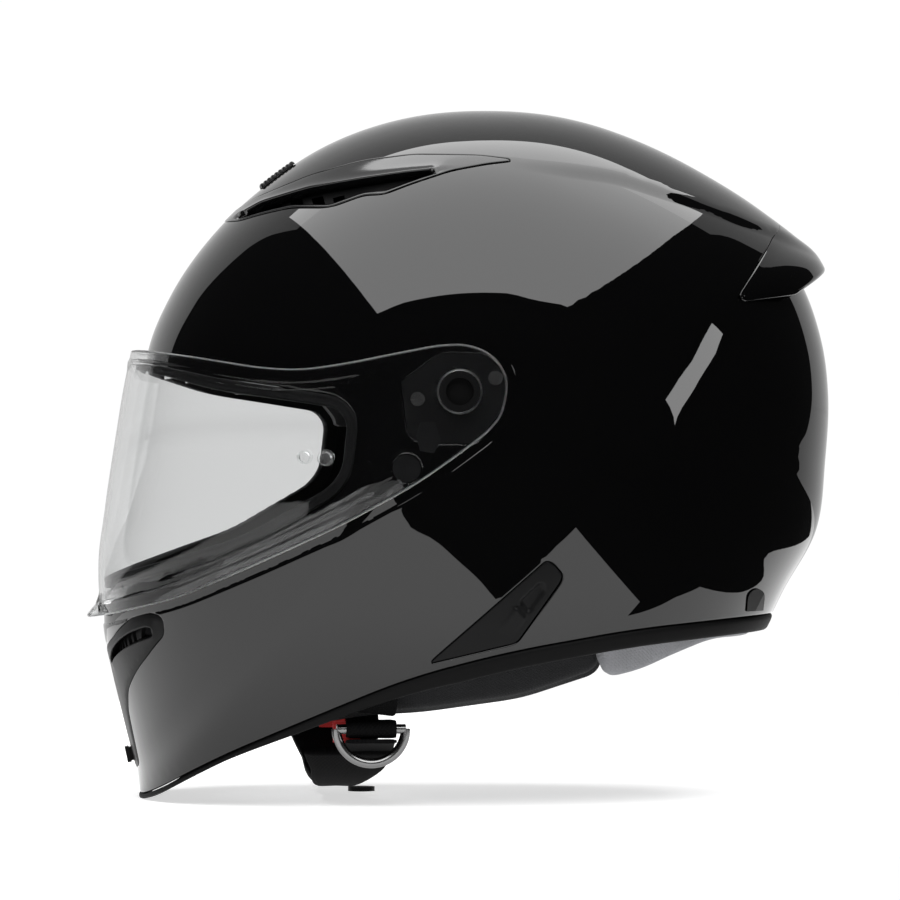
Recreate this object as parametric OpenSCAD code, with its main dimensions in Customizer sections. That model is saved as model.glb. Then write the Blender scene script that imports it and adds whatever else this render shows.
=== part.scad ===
// Full-face motorcycle helmet with a clear lifting visor, vents, liner, pads and a D-ring chin strap.
// Frame: the origin is midway between the two visor pivots, in the middle of the head space.
// +X is the wearer's left, -Y is the front and +Z is up, with the helmet as it is worn.

/* [Overall size] */
// Length front to back, from the visor's lift tab to the tip of the spoiler
helmet_len = 332; // [315:1:400]
// Width across the outer shell
shell_w = 241; // [234:1:290]

/* [Shell and liner] */
// Wall of the outer shell
shell_t = 3; // [2.5:0.1:3.6]
// Thickness of the comfort liner against the head
liner_t = 7; // [5:0.5:9]
// Width of the head space at the temples
head_w = 157; // [140:1:164]
// Height of the rubber trim below the rim at the back
trim_h = 8; // [6:0.5:10]

/* [Visor] */
// Thickness of the visor
visor_t = 2.2; // [1.8:0.1:2.7]
// Clear space between the visor and the shell under it
visor_gap = 0.8; // [0.7:0.1:1.2]
// Radius of the hub that the visor turns on
hub_r = 8.95; // [7.5:0.05:10.8]
// Thickness of the base plate that carries the hub
plate_t = 2.4; // [2:0.1:2.9]

/* [Chin strap] */
// Width of the strap webbing
web_w = 22; // [18:1:26]
// Thickness of the strap webbing
web_t = 2; // [1.5:0.1:2.5]
// Diameter of the D-ring wire
wire_d = 4; // [3:0.1:4.8]

/* [Fits] */
// Radial clearance of a part that turns or slides
run_gap = 0.05; // [0.02:0.01:0.1]
// Space left where one piece seats on or in another
seat_gap = 0.3; // [0.2:0.05:0.4]

/* [Hidden] */

// The side views below are drawn at this length and grow with it.
drawn_len = 332;
k = helmet_len / drawn_len;
half_w = shell_w / 2;
over = 400;

// How square the shell is: round_plan shapes the outline seen along the rim, round_side the fall to the pole.
round_plan = 2.4;
round_side = 2.1;
// Facets round the pivot and from pole to pole.
around = 48;
across = 22;

// Side profiles: the angle up from straight ahead, and the distance from the visor pivot.
shell_profile = [[-160, 179.5], [-150, 177.5], [-138, 183], [-122, 193], [-105, 200], [-90, 203],
  [-75, 210], [-63, 224], [-55, 229], [-50, 214], [-45, 202], [-40, 192.5], [-35, 184.5], [-31, 176],
  [-28, 167.5], [-24, 159.5], [-18, 150], [-12, 143], [-6, 138], [0, 134.5], [10, 132.8], [20, 129.4],
  [35, 125], [50, 122.5], [65, 123], [80, 124.5], [95, 127.2], [110, 131.6], [125, 137.5], [140, 149],
  [152, 161], [162, 169], [172, 172.8], [180, 174.2], [190, 175.5]];
fairing_profile = [[-120, 170], [-60, 120], [0, 110], [60, 116], [90, 123.5], [105, 129.5], [118, 136],
  [130, 143.7], [140, 152.3], [150, 164.2], [156, 173], [161, 181.5], [170, 182], [200, 180]];
visor_profile = [[-170, 160], [-130, 190], [-90, 206], [-60, 216], [-45, 203], [-38, 190], [-34, 183.5],
  [-30, 177.5], [-25, 169.7], [-20, 161.4], [-15, 154.9], [-10, 149.7], [-5, 145.9], [0, 143.3], [5, 141.4],
  [12, 140], [40, 139], [90, 139], [140, 142]];

fairing_w = 0.93 * half_w;
visor_in_w = half_w + visor_gap;
visor_out_w = visor_in_w + visor_t;

// Side-view outlines, [front to back, height], drawn at drawn_len.
rim_line = [[-260, -250], [-134, -178], [-104, -160], [-67, -143.5], [-21, -124], [23, -112.5], [79, -103],
  [135, -98.5], [260, -97]];
eye_port = [[-210, 34], [-137, 10], [-107, 1], [-80, -3], [-54, -7], [-49, -13], [-51, -34], [-57, -42],
  [-94, -63], [-148, -81], [-210, -104]];
visor_outline = [[-210, 27], [-133, 19], [-110, 15], [-86, 10.7], [-68, 9.6], [-47, 12.7], [-26, 17],
  [-8, 20.4], [3, 20.6], [12, 17.5], [18, 12], [21, 4], [20, -4], [18, -11], [12, -18], [-4, -30],
  [-20, -41], [-50, -57.5], [-86, -74.4], [-120, -89.5], [-152, -98.8], [-210, -115]];
tab_outline = [[-154.5, -92], [-150.5, -98], [-157, -104.5], [-161, -102]];
foam_line = [[-160, 21], [-60, -6], [-42, -14], [12, -14], [40, -40], [100, -72], [210, -96]];
liner_line = [[-160, 24], [-70, 12], [0, 6], [60, -24], [160, -66]];
cheek_outline = [[-84, -73], [-56, -53], [-42, -42], [-38, -24], [16, -20], [38, -45], [62, -95],
  [67, -122], [30, -134], [-14, -140], [-38, -141], [-66, -146], [-83, -138]];
cheek_back = [[-76, -78], [-50, -62], [-34, -34], [10, -30], [28, -52], [50, -92], [44, -104], [-20, -118],
  [-60, -132], [-74, -128]];
roll_outline = [[64.5, -90], [69, -124.5], [86, -120.5], [100, -115], [120, -110], [210, -110], [210, -99],
  [100, -82], [70, -76]];
crescent = [[-102, 79], [-94, 76], [-82, 79], [-70, 81.3], [-54, 80.6], [-39, 86], [-31, 86], [-18, 91],
  [-1, 96.7], [15, 99.8], [25, 101], [24.5, 101.9], [12, 103.5], [-17, 104.1], [-39, 101.5], [-61, 95.8],
  [-86, 86.2], [-96, 80]];
shutter_arm = [[-82, 81], [-58, 86], [-52, 97], [-68, 101], [-86, 88]];
vent_mouth = [[-94, 77.2], [-82, 80.6], [-70, 83.1], [-54, 82.6], [-39, 88], [-30, 88.6], [-8, 96.4],
  [-20, 95.2], [-39, 92.6], [-62, 89], [-82, 83.6]];
spoiler_outline = [[150, 76], [124.5, 42.5], [127, 39.5], [154, 43.5], [172, 54.5], [200, 66], [170, 100]];
fairing_outline = [[-10, 140], [40, 60], [124, 42.5], [149.5, 76], [170, 110], [120, 160]];
insert_outline = [[38, -73], [41, -74], [45.5, -79], [44.5, -82], [26, -108.5], [-12, -117.5],
  [-7, -112.8]];
insert_slot = [[36, -81.5], [38.5, -85], [31, -96.5], [26, -91]];
insert_ramp = [[25, -92], [30, -97.5], [24, -106.5], [17.5, -103.5]];
plate_outline = [[-25, 4], [-22, -19], [-16.5, -22], [7, -22.5], [19, -7], [20.5, 7], [11, 16], [-8, 16.5]];

// Front-view outlines of the chin vent's left half, [out from the middle, height].
chin_vent_half = [[0, -112.5], [14, -110.5], [22, -106.2], [32, -102.2], [42, -99], [52, -96.5],
  [54.5, -101.5], [54, -107], [48, -112.3], [38, -120.4], [28, -128.8], [20, -134.5], [14, -146], [9, -166],
  [0, -167.5]];
chin_mouth_half = [[13, -117], [20, -112.8], [29, -108.4], [38, -104.9], [47, -102.6], [49, -104],
  [47.5, -107], [38, -111.2], [24, -116.6], [15, -119.5]];

// Depths below the outer surface of the shell.
foam_off = shell_t + seat_gap;
grille_off = shell_t + seat_gap;
grille_t = 1.4;
shutter_off = grille_off + grille_t + 3.2;
shutter_t = 1.2;
stem_off = grille_off + grille_t + 0.9;
vent_pocket = shutter_off + shutter_t + 2.4;
chin_shutter_off = grille_off + grille_t + 0.7;
web_off = shell_t + 2.8;
cheek_off = web_off + web_t + 5.2;
cheek_plate_t = 1.6;
cheek_foam_t = 13;
cheek_in_x = 0.385 * head_w;
insert_depth = 1.9;
chin_foam_t = 26;
// How far back the bed for the visor is cut.
bed_end = -60 * k;

// The head space, an oval round its own centre.
head_y = 12;
head_z = -6;
head_len = 198;
head_up = 92;

// Places of the small parts, [front to back, height] from the pivot.
screw_at = [[-18, -3.2], [15.5, 5.8]];
screw_r = 2;
screw_head_r = 3.1;
lever_at = [-13.5, -15.5];
lever_r = 2.2;
rivet_at = [-22.5, -33];
rivet_r = 3;
rivet_head_r = 6;
pin_at = [-57.5, -28.7];
pin_r = 2.4;
fold_at = [-36 * k, -140 * k];
pull_at = [-46 * k, -148.4 * k];
tab_half_w = 13;
slider_turn = 53;
slider_len = 17;
slider_w = 22;
slider_travel = 7;
chin_travel = 5;
boss_t = 3.2;

// ---- Shapes that the pieces share ----

// Knot i of a profile that closes on itself after 360 degrees.
function knot(p, i) = let (n = len(p), j = (i % n + n) % n) [p[j][0] + 360 * floor(i / n), p[j][1]];
function slope(p, i) = (knot(p, i + 1)[1] - knot(p, i - 1)[1]) / (knot(p, i + 1)[0] - knot(p, i - 1)[0]);
function last_below(p, a) = len([for (q = p) if (q[0] <= a) 1]) - 1;
function wrap(p, a) = a < p[0][0] ? wrap(p, a + 360) : a >= p[0][0] + 360 ? wrap(p, a - 360) : a;
function cubic(p, i, a) = let (h = knot(p, i + 1)[0] - knot(p, i)[0], s = (a - knot(p, i)[0]) / h)
  (1 + 2 * s) * (1 - s) * (1 - s) * knot(p, i)[1] + s * s * (3 - 2 * s) * knot(p, i + 1)[1]
  + h * s * (1 - s) * ((1 - s) * slope(p, i) - s * slope(p, i + 1));
// Distance from the pivot at angle a, on a smooth curve through the profile's points.
function radius(p, a) = let (b = wrap(p, a)) k * cubic(p, last_below(p, b), b);
function oval(a, grow) = 1 / sqrt(pow(cos(a) / (k * head_len / 2 + grow), 2)
  + pow(sin(a) / (k * head_up + grow), 2));

// A closed rounded body: radii[i] is its reach in the side view at angle 360 * i / len(radii), and w its half
// width.
module rounded(w, radii, cy = 0, cz = 0, rows = across) {
  n = len(radii);
  ring = [for (j = [1 : rows - 1]) for (i = [0 : n - 1]) let (t = 180 * j / rows, a = 360 * i / n,
    rho = radii[i] * pow(sin(t), 2 / round_plan))
    [w * sign(cos(t)) * pow(abs(cos(t)), 2 / round_side), cy - rho * cos(a), cz + rho * sin(a)]];
  left = len(ring);
  points = concat(ring, [[w, cy, cz], [-w, cy, cz]]);
  sides = [for (j = [0 : rows - 3]) for (i = [0 : n - 1]) each let (p = j * n + i, q = j * n + (i + 1) % n)
    [[p, q + n, q], [p, p + n, q + n]]];
  caps = [for (i = [0 : n - 1]) each let (j = (i + 1) % n, b = (rows - 2) * n)
    [[left, i, j], [left + 1, b + j, b + i]]];
  polyhedron(points, concat(sides, caps));
}
module shell_body(off = 0) {
  rounded(half_w - off, [for (i = [0 : around - 1]) radius(shell_profile, 360 * i / around) - off]);
}
module fairing_body() {
  rounded(fairing_w, [for (i = [0 : around - 1]) radius(fairing_profile, 360 * i / around)]);
}
module visor_body(w, off) {
  rounded(w, [for (i = [0 : around - 1]) radius(visor_profile, 360 * i / around) - off]);
}
module head_body(grow) {
  rounded(head_w / 2 + grow, [for (i = [0 : 39]) oval(360 * i / 40, grow)], head_y, head_z, 16);
}
// The layer of the shell's shape between two depths.
module layer(from, to) {
  difference() {
    shell_body(from);
    shell_body(to);
  }
}
// A side-view outline cut right through the helmet, or through one side of it (side is 1, -1 or 0 for both).
module side_prism(outline, grow = 0, side = 0, round = 0) {
  x0 = side == 0 ? -over : side > 0 ? 0.1 : -over;
  translate([x0, 0, 0]) rotate([90, 0, 90]) linear_extrude(side == 0 ? 2 * over : over - 0.1)
    offset(r = round, $fn = 24) offset(delta = grow - round) polygon(k * outline);
}
// A front-view outline of the left half and its mirror image, through the front of the helmet.
module front_prism(half, grow = 0) {
  translate([0, -90 * k, 0]) rotate([90, 0, 0]) linear_extrude(over) for (s = [1, -1]) scale([s, 1])
    offset(delta = grow) polygon(k * half);
}
module above(line) {
  side_prism(concat(line, [[line[len(line) - 1][0], 300], [line[0][0], 300]]));
}
module below(line, drop = 0) {
  translate([0, 0, -drop]) side_prism(concat(line, [[line[len(line) - 1][0], -400], [line[0][0], -400]]));
}
// A round bar along X through a side-view point, on one side of the helmet.
module bar_x(at, r, x0, x1, side = 1, sides = 32) {
  translate([side * x0, at[0], at[1]]) rotate([0, side * 90, 0]) cylinder(r = r, h = x1 - x0, $fn = sides);
}
// A flat plate of a side-view outline between two distances from the middle plane.
module plate_x(outline, x0, x1, side = 1, grow = 0) {
  translate([side > 0 ? x0 : -x1, 0, 0]) rotate([90, 0, 90]) linear_extrude(x1 - x0)
    offset(delta = grow) polygon(outline);
}
// Half width of the shell at a side-view point, less a depth.
function skin_x(at, off = 0) = let (rho = norm(at), a = atan2(at[1], -at[0]))
  (half_w - off) * pow(1 - pow(rho / (radius(shell_profile, a) - off), round_plan), 1 / round_side);

// ---- Shell and outside ----

// The face of the ear falls away from the pivot in step with the width, and the plate lies under it.
ear_fall = 0.8 / 120.5 * half_w;
base_floor = half_w - plate_t - ear_fall;
rivet_floor = skin_x(rivet_at) - 1.8;
crown_r = radius(shell_profile, slider_turn);
// The chin slider's place on the shell, and how far its travel leans back from upright.
chin_turn = -49.3;
chin_nub = radius(shell_profile, chin_turn) * [-cos(chin_turn), sin(chin_turn)];
chin_lean = 12;
chin_up = [0, -sin(chin_lean), cos(chin_lean)];

// Under the crown slider +Y points out of the shell and +Z forward along it.
module at_slider() {
  rotate([180 - slider_turn, 0, 0]) children();
}
module vent_slot(travel, r_in, r_out, half, before, after) {
  at_slider() translate([-half, r_in, -after - travel])
    cube([2 * half, r_out - r_in, before + after + travel]);
}
module chin_slot(grow) {
  translate([0, chin_nub[0], chin_nub[1]]) rotate([chin_lean, 0, 0])
    translate([-4 - grow, -12, -3 - grow]) cube([8 + 2 * grow, 24, 6 + chin_travel + 2 * grow]);
}

module outer_shell() color("#0c0c0e") resize([0, 0, 0]) difference() {
  union() {
    difference() {
      union() {
        shell_body();
        intersection() {
          fairing_body();
          side_prism(fairing_outline);
        }
      }
      shell_body(shell_t);
    }
    for (s = [1, -1]) {
      plate_x(plate_outline, base_floor - boss_t, half_w - 2, s, 3);
      bar_x(rivet_at, rivet_head_r + 3, rivet_floor - 1.3, rivet_floor + 0.6, s, 24);
    }
  }
  side_prism(eye_port, 5 + seat_gap, 0, 8);
  below(rim_line);
  // Bed of the visor, in front of and above its lower edge.
  difference() {
    side_prism(visor_outline, 1.5);
    visor_body(visor_in_w - visor_gap, visor_t + visor_gap);
    translate([-over, bed_end, -over]) cube(2 * over);
  }
  side_prism(crescent, seat_gap);
  front_prism(chin_vent_half, seat_gap);
  vent_slot(slider_travel, 100, 150, 3 + seat_gap, 3 + seat_gap, 3 + seat_gap);
  for (s = [1, -1]) {
    difference() {
      side_prism(insert_outline, seat_gap, s);
      shell_body(insert_depth);
    }
    difference() {
      rear_port_prism(s, seat_gap);
      shell_body(insert_depth);
    }
    plate_x(plate_outline, base_floor, over, s, seat_gap);
    bar_x(rivet_at, rivet_head_r + seat_gap, rivet_floor, over, s, 24);
    bar_x(rivet_at, rivet_r + seat_gap, rivet_floor - 20, over, s, 16);
    for (p = screw_at) bar_x(p, screw_r + seat_gap, base_floor - boss_t - 5, over, s, 16);
  }
}
module rear_port_prism(s, grow = 0) {
  translate([s > 0 ? 30 : -over, 0, 0]) rotate([90, 0, 90]) linear_extrude(over - 30) offset(delta = grow)
    hull() {
      translate([136 * k, -91 * k]) circle(4.5, $fn = 20);
      translate([131.5 * k, -96.4 * k]) square([9, 1]);
    }
}
module rear_spoiler() color("#0c0c0e") resize([0, 0, 0]) difference() {
  intersection() {
    fairing_body();
    side_prism(spoiler_outline);
  }
  shell_body(-seat_gap);
}
module forehead_vent_cover() color("#101012") resize([0, 0, 0]) difference() {
  intersection() {
    layer(-0.6, shell_t);
    side_prism(crescent);
  }
  for (s = [1, -1]) intersection() {
    side_prism(vent_mouth, 0, s);
    translate([s > 0 ? 9 : -over, -over, 0]) cube([over - 9, 2 * over, over]);
  }
}
module forehead_vent_grille() color("#1a1a1c") resize([0, 0, 0]) difference() {
  intersection() {
    layer(grille_off, grille_off + grille_t);
    side_prism(crescent, 1.5);
  }
  vent_slot(slider_travel, 100, 150, 10, 8, 8);
  for (y = [-88 : 9 : -16]) translate([-over, k * y, 0]) rotate([12, 0, 0])
    cube([over - 14, 5, 87 * k]);
  for (y = [-88 : 9 : -16]) translate([14, k * y, 0]) rotate([12, 0, 0])
    cube([over - 14, 5, 87 * k]);
}
module forehead_vent_shutter() color("#202022") resize([0, 0, 0]) union() {
  intersection() {
    layer(shutter_off, shutter_off + shutter_t);
    union() {
      side_prism(vent_mouth, 0.5);
      side_prism(shutter_arm);
    }
  }
  vent_slot(0, crown_r - shutter_off - shutter_t, crown_r - stem_off, 9, 5, 8);
}
module forehead_vent_slider() color("#161617") at_slider() translate([0, crown_r + 0.9, 0]) {
    translate([-slider_w / 2, 0, -slider_len / 2]) cube([slider_w, 1.2, slider_len]);
    for (z = [0 : 8]) translate([-slider_w / 2 + 1, 1.2, -slider_len / 2 + 0.6 + z * 1.95])
      cube([slider_w - 2, 1.2, 1]);
    translate([-3, seat_gap - stem_off - 0.9, -3]) cube([6, stem_off + 0.9 - seat_gap, 6]);
  }
module chin_vent_frame() color("#131314") resize([0, 0, 0]) difference() {
  intersection() {
    layer(-frame_rise, shell_t);
    front_prism(chin_vent_half);
  }
  front_prism(chin_mouth_half);
  chin_slot(seat_gap);
}
module chin_vent_grille() color("#1a1a1c") resize([0, 0, 0]) difference() {
  intersection() {
    layer(grille_off, grille_off + grille_t);
    front_prism(chin_mouth_half, 2.5);
  }
  for (s = [1, -1]) for (x = [19 : 5 : 44])
    translate([s * x * k - 1.5, -over, -118 * k]) cube([3, over, 14 * k]);
}
module chin_vent_shutter() color("#202022") resize([0, 0, 0]) translate(-chin_travel * chin_up) union() {
  intersection() {
    layer(chin_shutter_off, chin_shutter_off + shutter_t);
    front_prism(chin_mouth_half, 1);
  }
  intersection() {
    layer(chin_shutter_off, chin_shutter_off + shutter_t);
    translate([-16, -over, -154 * k]) cube([32, over, 40 * k]);
  }
}
frame_rise = 0.7;
module chin_vent_slider() color("#161617")
  translate([0, chin_nub[0], chin_nub[1]]) rotate([chin_lean, 0, 0]) {
  translate([-5, -frame_rise - 2.6, -3.5]) cube([10, 1.8, 7]);
  translate([-4, -frame_rise - 0.9, -3]) cube([8, frame_rise + chin_shutter_off - 0.8, 6]);
}
module side_insert(s) {
  color("#1c1c1e") resize([0, 0, 0]) difference() {
    union() {
      intersection() {
        layer(0.1, insert_depth - 0.2);
        side_prism(insert_outline, 0, s);
      }
      intersection() {
        layer(-0.9, insert_depth - 0.2);
        side_prism(insert_ramp, 0, s);
      }
    }
    side_prism(insert_slot, 0, s);
  }
}
module side_insert_left() side_insert(1);
module side_insert_right() side_insert(-1);
module rear_port(s) {
  color("#161617") resize([0, 0, 0]) intersection() {
    layer(-1, insert_depth - 0.2);
    rear_port_prism(s);
  }
}
module rear_port_left() rear_port(1);
module rear_port_right() rear_port(-1);

// ---- Rubber ----

module eye_port_gasket() color("#18181a") resize([0, 0, 0]) intersection() {
  difference() {
    visor_body(visor_in_w - 1, visor_t + 0.5);
    shell_body(shell_t + 4);
  }
  difference() {
    side_prism(eye_port, 5, 0, 8);
    side_prism(eye_port, 0, 0, 4);
  }
}
trim_line = [for (p = rim_line)
  [p[0], p[1] - (p[0] > 0 ? trim_h : 3 + (trim_h - 3) * max(0, (p[0] + 80) / 80))]];
module bottom_trim() color("#1b1b1c") resize([0, 0, 0]) difference() {
  intersection() {
    layer(-1.2, shell_t + 1.4);
    below(rim_line, seat_gap);
  }
  below(trim_line);
}

// ---- Liner ----

module crown_foam() color("#2a2a2d") resize([0, 0, 0]) difference() {
  intersection() {
    shell_body(foam_off);
    above(foam_line);
  }
  head_body(liner_t + seat_gap);
  side_prism(eye_port, 5 + seat_gap, 0, 8);
  difference() {
    union() {
      side_prism(crescent, 3);
      side_prism(shutter_arm, 9);
    }
    shell_body(vent_pocket);
  }
  vent_slot(slider_travel, crown_r - vent_pocket, 150, 10, 14, 14);
  for (s = [1, -1]) plate_x(plate_outline, base_floor - boss_t - seat_gap, over, s, 3 + seat_gap);
  for (s = [1, -1]) for (p = screw_at) bar_x(p, screw_r + 1, base_floor - boss_t - 8, over, s, 16);
}
module comfort_liner() color("#303034") resize([0, 0, 0]) intersection() {
  difference() {
    head_body(liner_t);
    head_body(0);
  }
  above(liner_line);
}
module chin_foam() color("#2a2a2d") resize([0, 0, 0]) difference() {
  layer(foam_off, foam_off + chin_foam_t);
  side_prism(eye_port, 5 + seat_gap, 0, 8);
  above([[-260, -30], [0, -30]]);
  below(rim_line, -1);
  translate([-over, -88 * k, -over]) cube([2 * over, 2 * over, 2 * over]);
  difference() {
    front_prism(chin_vent_half, 3);
    shell_body(vent_pocket);
  }
  translate([-19, -over, -175 * k]) cube([38, over - 125 * k, 60 * k]);
}
module breath_deflector() color("#1e1e20") resize([0, 0, 0]) intersection() {
  layer(foam_off + chin_foam_t + seat_gap, foam_off + chin_foam_t + seat_gap + 1.6);
  translate([-36 * k, -over, -114 * k]) cube([72 * k, over - 90 * k, 38 * k]);
}
module neck_roll() color("#9a9ba0") resize([0, 0, 0]) intersection() {
  layer(shell_t + 1.4 + seat_gap, shell_t + 26);
  side_prism(roll_outline);
}
module cheek_layer(outline, from, to, s, grow = 0) {
  intersection() {
    layer(from, to);
    side_prism(outline, grow, s);
  }
}
module cheek_plate(s) {
  color("#26262a") resize([0, 0, 0]) cheek_layer(cheek_back, cheek_off, cheek_off + cheek_plate_t, s);
}
module cheek_foam(s) {
  color("#2e2e32") resize([0, 0, 0])
    cheek_layer(cheek_back, cheek_off + cheek_plate_t + seat_gap,
      cheek_off + cheek_plate_t + cheek_foam_t, s);
}
module cheek_pad(s) {
  color("#3a3b3e") resize([0, 0, 0]) difference() {
    intersection() {
      shell_body(cheek_off);
      side_prism(cheek_outline, 0, s, 6);
      translate([s > 0 ? cheek_in_x : -over, -over, -over]) cube([over - cheek_in_x, 2 * over, 2 * over]);
    }
    difference() {
      side_prism(cheek_back, seat_gap, s);
      shell_body(cheek_off + cheek_plate_t + cheek_foam_t + seat_gap);
    }
  }
}
module cheek_plate_left() cheek_plate(1);
module cheek_plate_right() cheek_plate(-1);
module cheek_foam_left() cheek_foam(1);
module cheek_foam_right() cheek_foam(-1);
module cheek_pad_left() cheek_pad(1);
module cheek_pad_right() cheek_pad(-1);
snap_at = [[-58, -92], [34, -84], [-4, -66]];
module cheek_plate_snaps() color("#b0b2b6") for (s = [1, -1]) for (p = snap_at)
  bar_x(k * p, 5, skin_x(k * p, cheek_off) + 1.4, skin_x(k * p, cheek_off) + 3.2, s);
module pull_tab(s) {
  color("#b3202a") translate([s * (cheek_in_x + 9), pull_at[0], pull_at[1]])
    cube([1.4, 12, 9.2], center = true);
}
module pull_tab_left() pull_tab(1);
module pull_tab_right() pull_tab(-1);

// ---- Visor and its mechanism ----

visor_face = visor_out_w - 0.3;
module visor_blank() {
  intersection() {
    difference() {
      visor_body(visor_out_w, 0);
      intersection() {
        visor_body(visor_in_w, visor_t);
        cube([2 * (visor_in_w - 0.3), 2 * over, 2 * over], center = true);
      }
    }
    side_prism(visor_outline);
    cube([2 * visor_face, 2 * over, 2 * over], center = true);
  }
  translate([-tab_half_w, 0, 0]) rotate([90, 0, 90]) linear_extrude(2 * tab_half_w) polygon(k * tab_outline);
}
module visor() color("#d9e2e6", 0.35) difference() {
  resize([0, 0, 0]) visor_blank();
  rotate([0, 90, 0]) cylinder(r = hub_r + run_gap, h = 2 * over, center = true, $fn = 64);
  for (s = [1, -1]) at_pin(s) cylinder(r = pin_r + run_gap, h = 12, center = true, $fn = 40);
}
module base_plate(s) {
  color("#151517") difference() {
    union() {
      plate_x(plate_outline, base_floor, base_floor + plate_t, s);
      bar_x([0, 0], hub_r, base_floor + plate_t - 1, visor_face + 0.4, s, 64);
    }
    for (p = screw_at) bar_x(p, screw_r + seat_gap / 2, base_floor - 1, half_w + 1, s);
    bar_x(lever_at, lever_r + run_gap, base_floor - 1, half_w + 1, s);
    bar_x([0, 0], hub_r - 3, base_floor + plate_t + 0.6, half_w + 9, s);
  }
}
module base_plate_left() base_plate(1);
module base_plate_right() base_plate(-1);
module base_plate_screws() color("#c8cacd") for (s = [1, -1]) for (p = screw_at) difference() {
  union() {
    bar_x(p, screw_r, base_floor - boss_t, base_floor + plate_t + 0.2, s);
    bar_x(p, screw_head_r, base_floor + plate_t, base_floor + plate_t + 0.6, s);
  }
  bar_x(p, 1.1, base_floor + plate_t - 0.3, half_w + 9, s);
}
module release_lever(s) {
  color("#1f1f22") {
    bar_x(lever_at, lever_r, base_floor + 0.3, base_floor + plate_t + 0.3, s);
    plate_x([[-16.5, -13], [-10.5, -13], [-8, -21], [-11, -26.5], [-17, -25.5], [-18.5, -19]],
      base_floor + plate_t + 0.2, base_floor + plate_t + 0.5, s);
  }
}
module release_lever_left() release_lever(1);
module release_lever_right() release_lever(-1);
// A lens pin's axis: it stands square on the visor.
pin_ratio = k * norm(pin_at) / radius(visor_profile, atan2(pin_at[1], -pin_at[0]));
pin_x = visor_out_w * pow(1 - pow(pin_ratio, round_plan), 1 / round_side);
pin_lean = atan2(round_plan / (k * norm(pin_at)) * pow(pin_ratio, round_plan),
  round_side / pin_x * (1 - pow(pin_ratio, round_plan)));
pin_dir = [cos(pin_lean), sin(pin_lean) * pin_at[0] / norm(pin_at), sin(pin_lean) * pin_at[1] / norm(pin_at)];
module at_pin(s) {
  translate([s * pin_x, k * pin_at[0], k * pin_at[1]])
    rotate([0, acos(pin_dir[2]), atan2(pin_dir[1], s * pin_dir[0])]) children();
}
module lens_pin(s) {
  color("#d5d7da") at_pin(s) difference() {
    union() {
      translate([0, 0, 0.5]) cylinder(r = pin_r + 0.9, h = 0.8, $fn = 40);
      translate([0, 0, -visor_t - 1.4]) cylinder(r = pin_r, h = visor_t + 2, $fn = 40);
      translate([0, 0, -visor_t - 1.9]) cylinder(r = pin_r + 1.2, h = 0.9, $fn = 40);
    }
    translate([-pin_r - 1, -0.4, 0.7]) cube([2 * pin_r + 2, 0.8, 1]);
  }
}
module lens_pin_left() lens_pin(1);
module lens_pin_right() lens_pin(-1);

// ---- Retention ----

web_x = skin_x(rivet_at, web_off);
module strap_rivet(s) {
  color("#8c8e92") {
    bar_x(rivet_at, rivet_head_r, rivet_floor + 0.1, rivet_floor + 1.3, s);
    bar_x(rivet_at, rivet_r, web_x - web_t - 4, rivet_floor + 0.2, s);
    bar_x(rivet_at, rivet_r + 1.8, web_x - web_t - 4.6, web_x - web_t - 3.5, s);
  }
}
module strap_rivet_left() strap_rivet(1);
module strap_rivet_right() strap_rivet(-1);
module anchor_plate(s) {
  color("#9a9ca0") difference() {
    plate_x([for (p = [[-11, -9], [11, -9], [11, 9], [-11, 9]]) rivet_at + p], web_x - web_t - 3.4,
      web_x - web_t - 1.9, s);
    bar_x(rivet_at, rivet_r + 0.15, 0, over, s);
  }
}
module anchor_plate_left() anchor_plate(1);
module anchor_plate_right() anchor_plate(-1);
web_dir = (fold_at - rivet_at) / norm(fold_at - rivet_at);
web_out = [web_dir[1], -web_dir[0]];
web_outline = concat([for (a = [-90 : 30 : 90]) rivet_at - web_w / 2 * (web_dir * cos(a) + web_out * sin(a))],
  [fold_at - web_w / 2 * web_out, fold_at + web_w / 2 * web_out]) / k;
module strap_web(s) {
  color("#17171a") resize([0, 0, 0]) difference() {
    intersection() {
      layer(web_off, web_off + web_t);
      side_prism(web_outline, 0, s);
    }
    bar_x(rivet_at, rivet_r + seat_gap, 0, over, s, 16);
  }
}
module strap_web_left() strap_web(1);
module strap_web_right() strap_web(-1);

// The hanging straps, in front view: x out from the middle, z from the pivot.
fold_x = skin_x(fold_at, web_off + web_t / 2);
ring_r = web_w / 2 + 2 + wire_d / 2;
ring_pitch = wire_d + 0.3;
ring_x = [fold_x - 0.5, fold_x - 0.5 - ring_pitch];
ring_z = fold_at[1] - 4.5 - wire_d / 2;
sleeve_t = 4;
sleeve_w = web_w + 8;
tail_z = ring_z - wire_d / 2 - 1.5 * web_t - 0.6;
strap_low = -174 * k;
// A band along a front-view path, t thick, and w wide along Y.
module hung_band(path, t, w) {
  n = len(path);
  dir = [for (i = [0 : n - 1]) let (d = path[min(i + 1, n - 1)] - path[max(i - 1, 0)]) d / norm(d)];
  side = [for (d = dir) [d[1], -d[0]]];
  translate([0, fold_at[0] + w / 2, 0]) rotate([90, 0, 0]) linear_extrude(w) polygon(concat(
    [for (i = [0 : n - 1]) path[i] + t / 2 * side[i]],
    [for (i = [n - 1 : -1 : 0]) path[i] - t / 2 * side[i]]));
}
tail_start = [fold_x - 26, tail_z - 5];
module chin_strap_long() color("#1a1a1c") hung_band(concat(
  [for (i = [0 : 8]) let (u = 1 - i / 8)
    [-fold_x * u, strap_low + (fold_at[1] - 3.2 - strap_low) * pow(u, 2.7)]],
  [for (i = [1 : 5]) let (u = i / 5)
    [tail_start[0] * u, strap_low + (tail_start[1] - strap_low) * pow(u, 2.2)]]),
  sleeve_t, sleeve_w);
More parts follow.
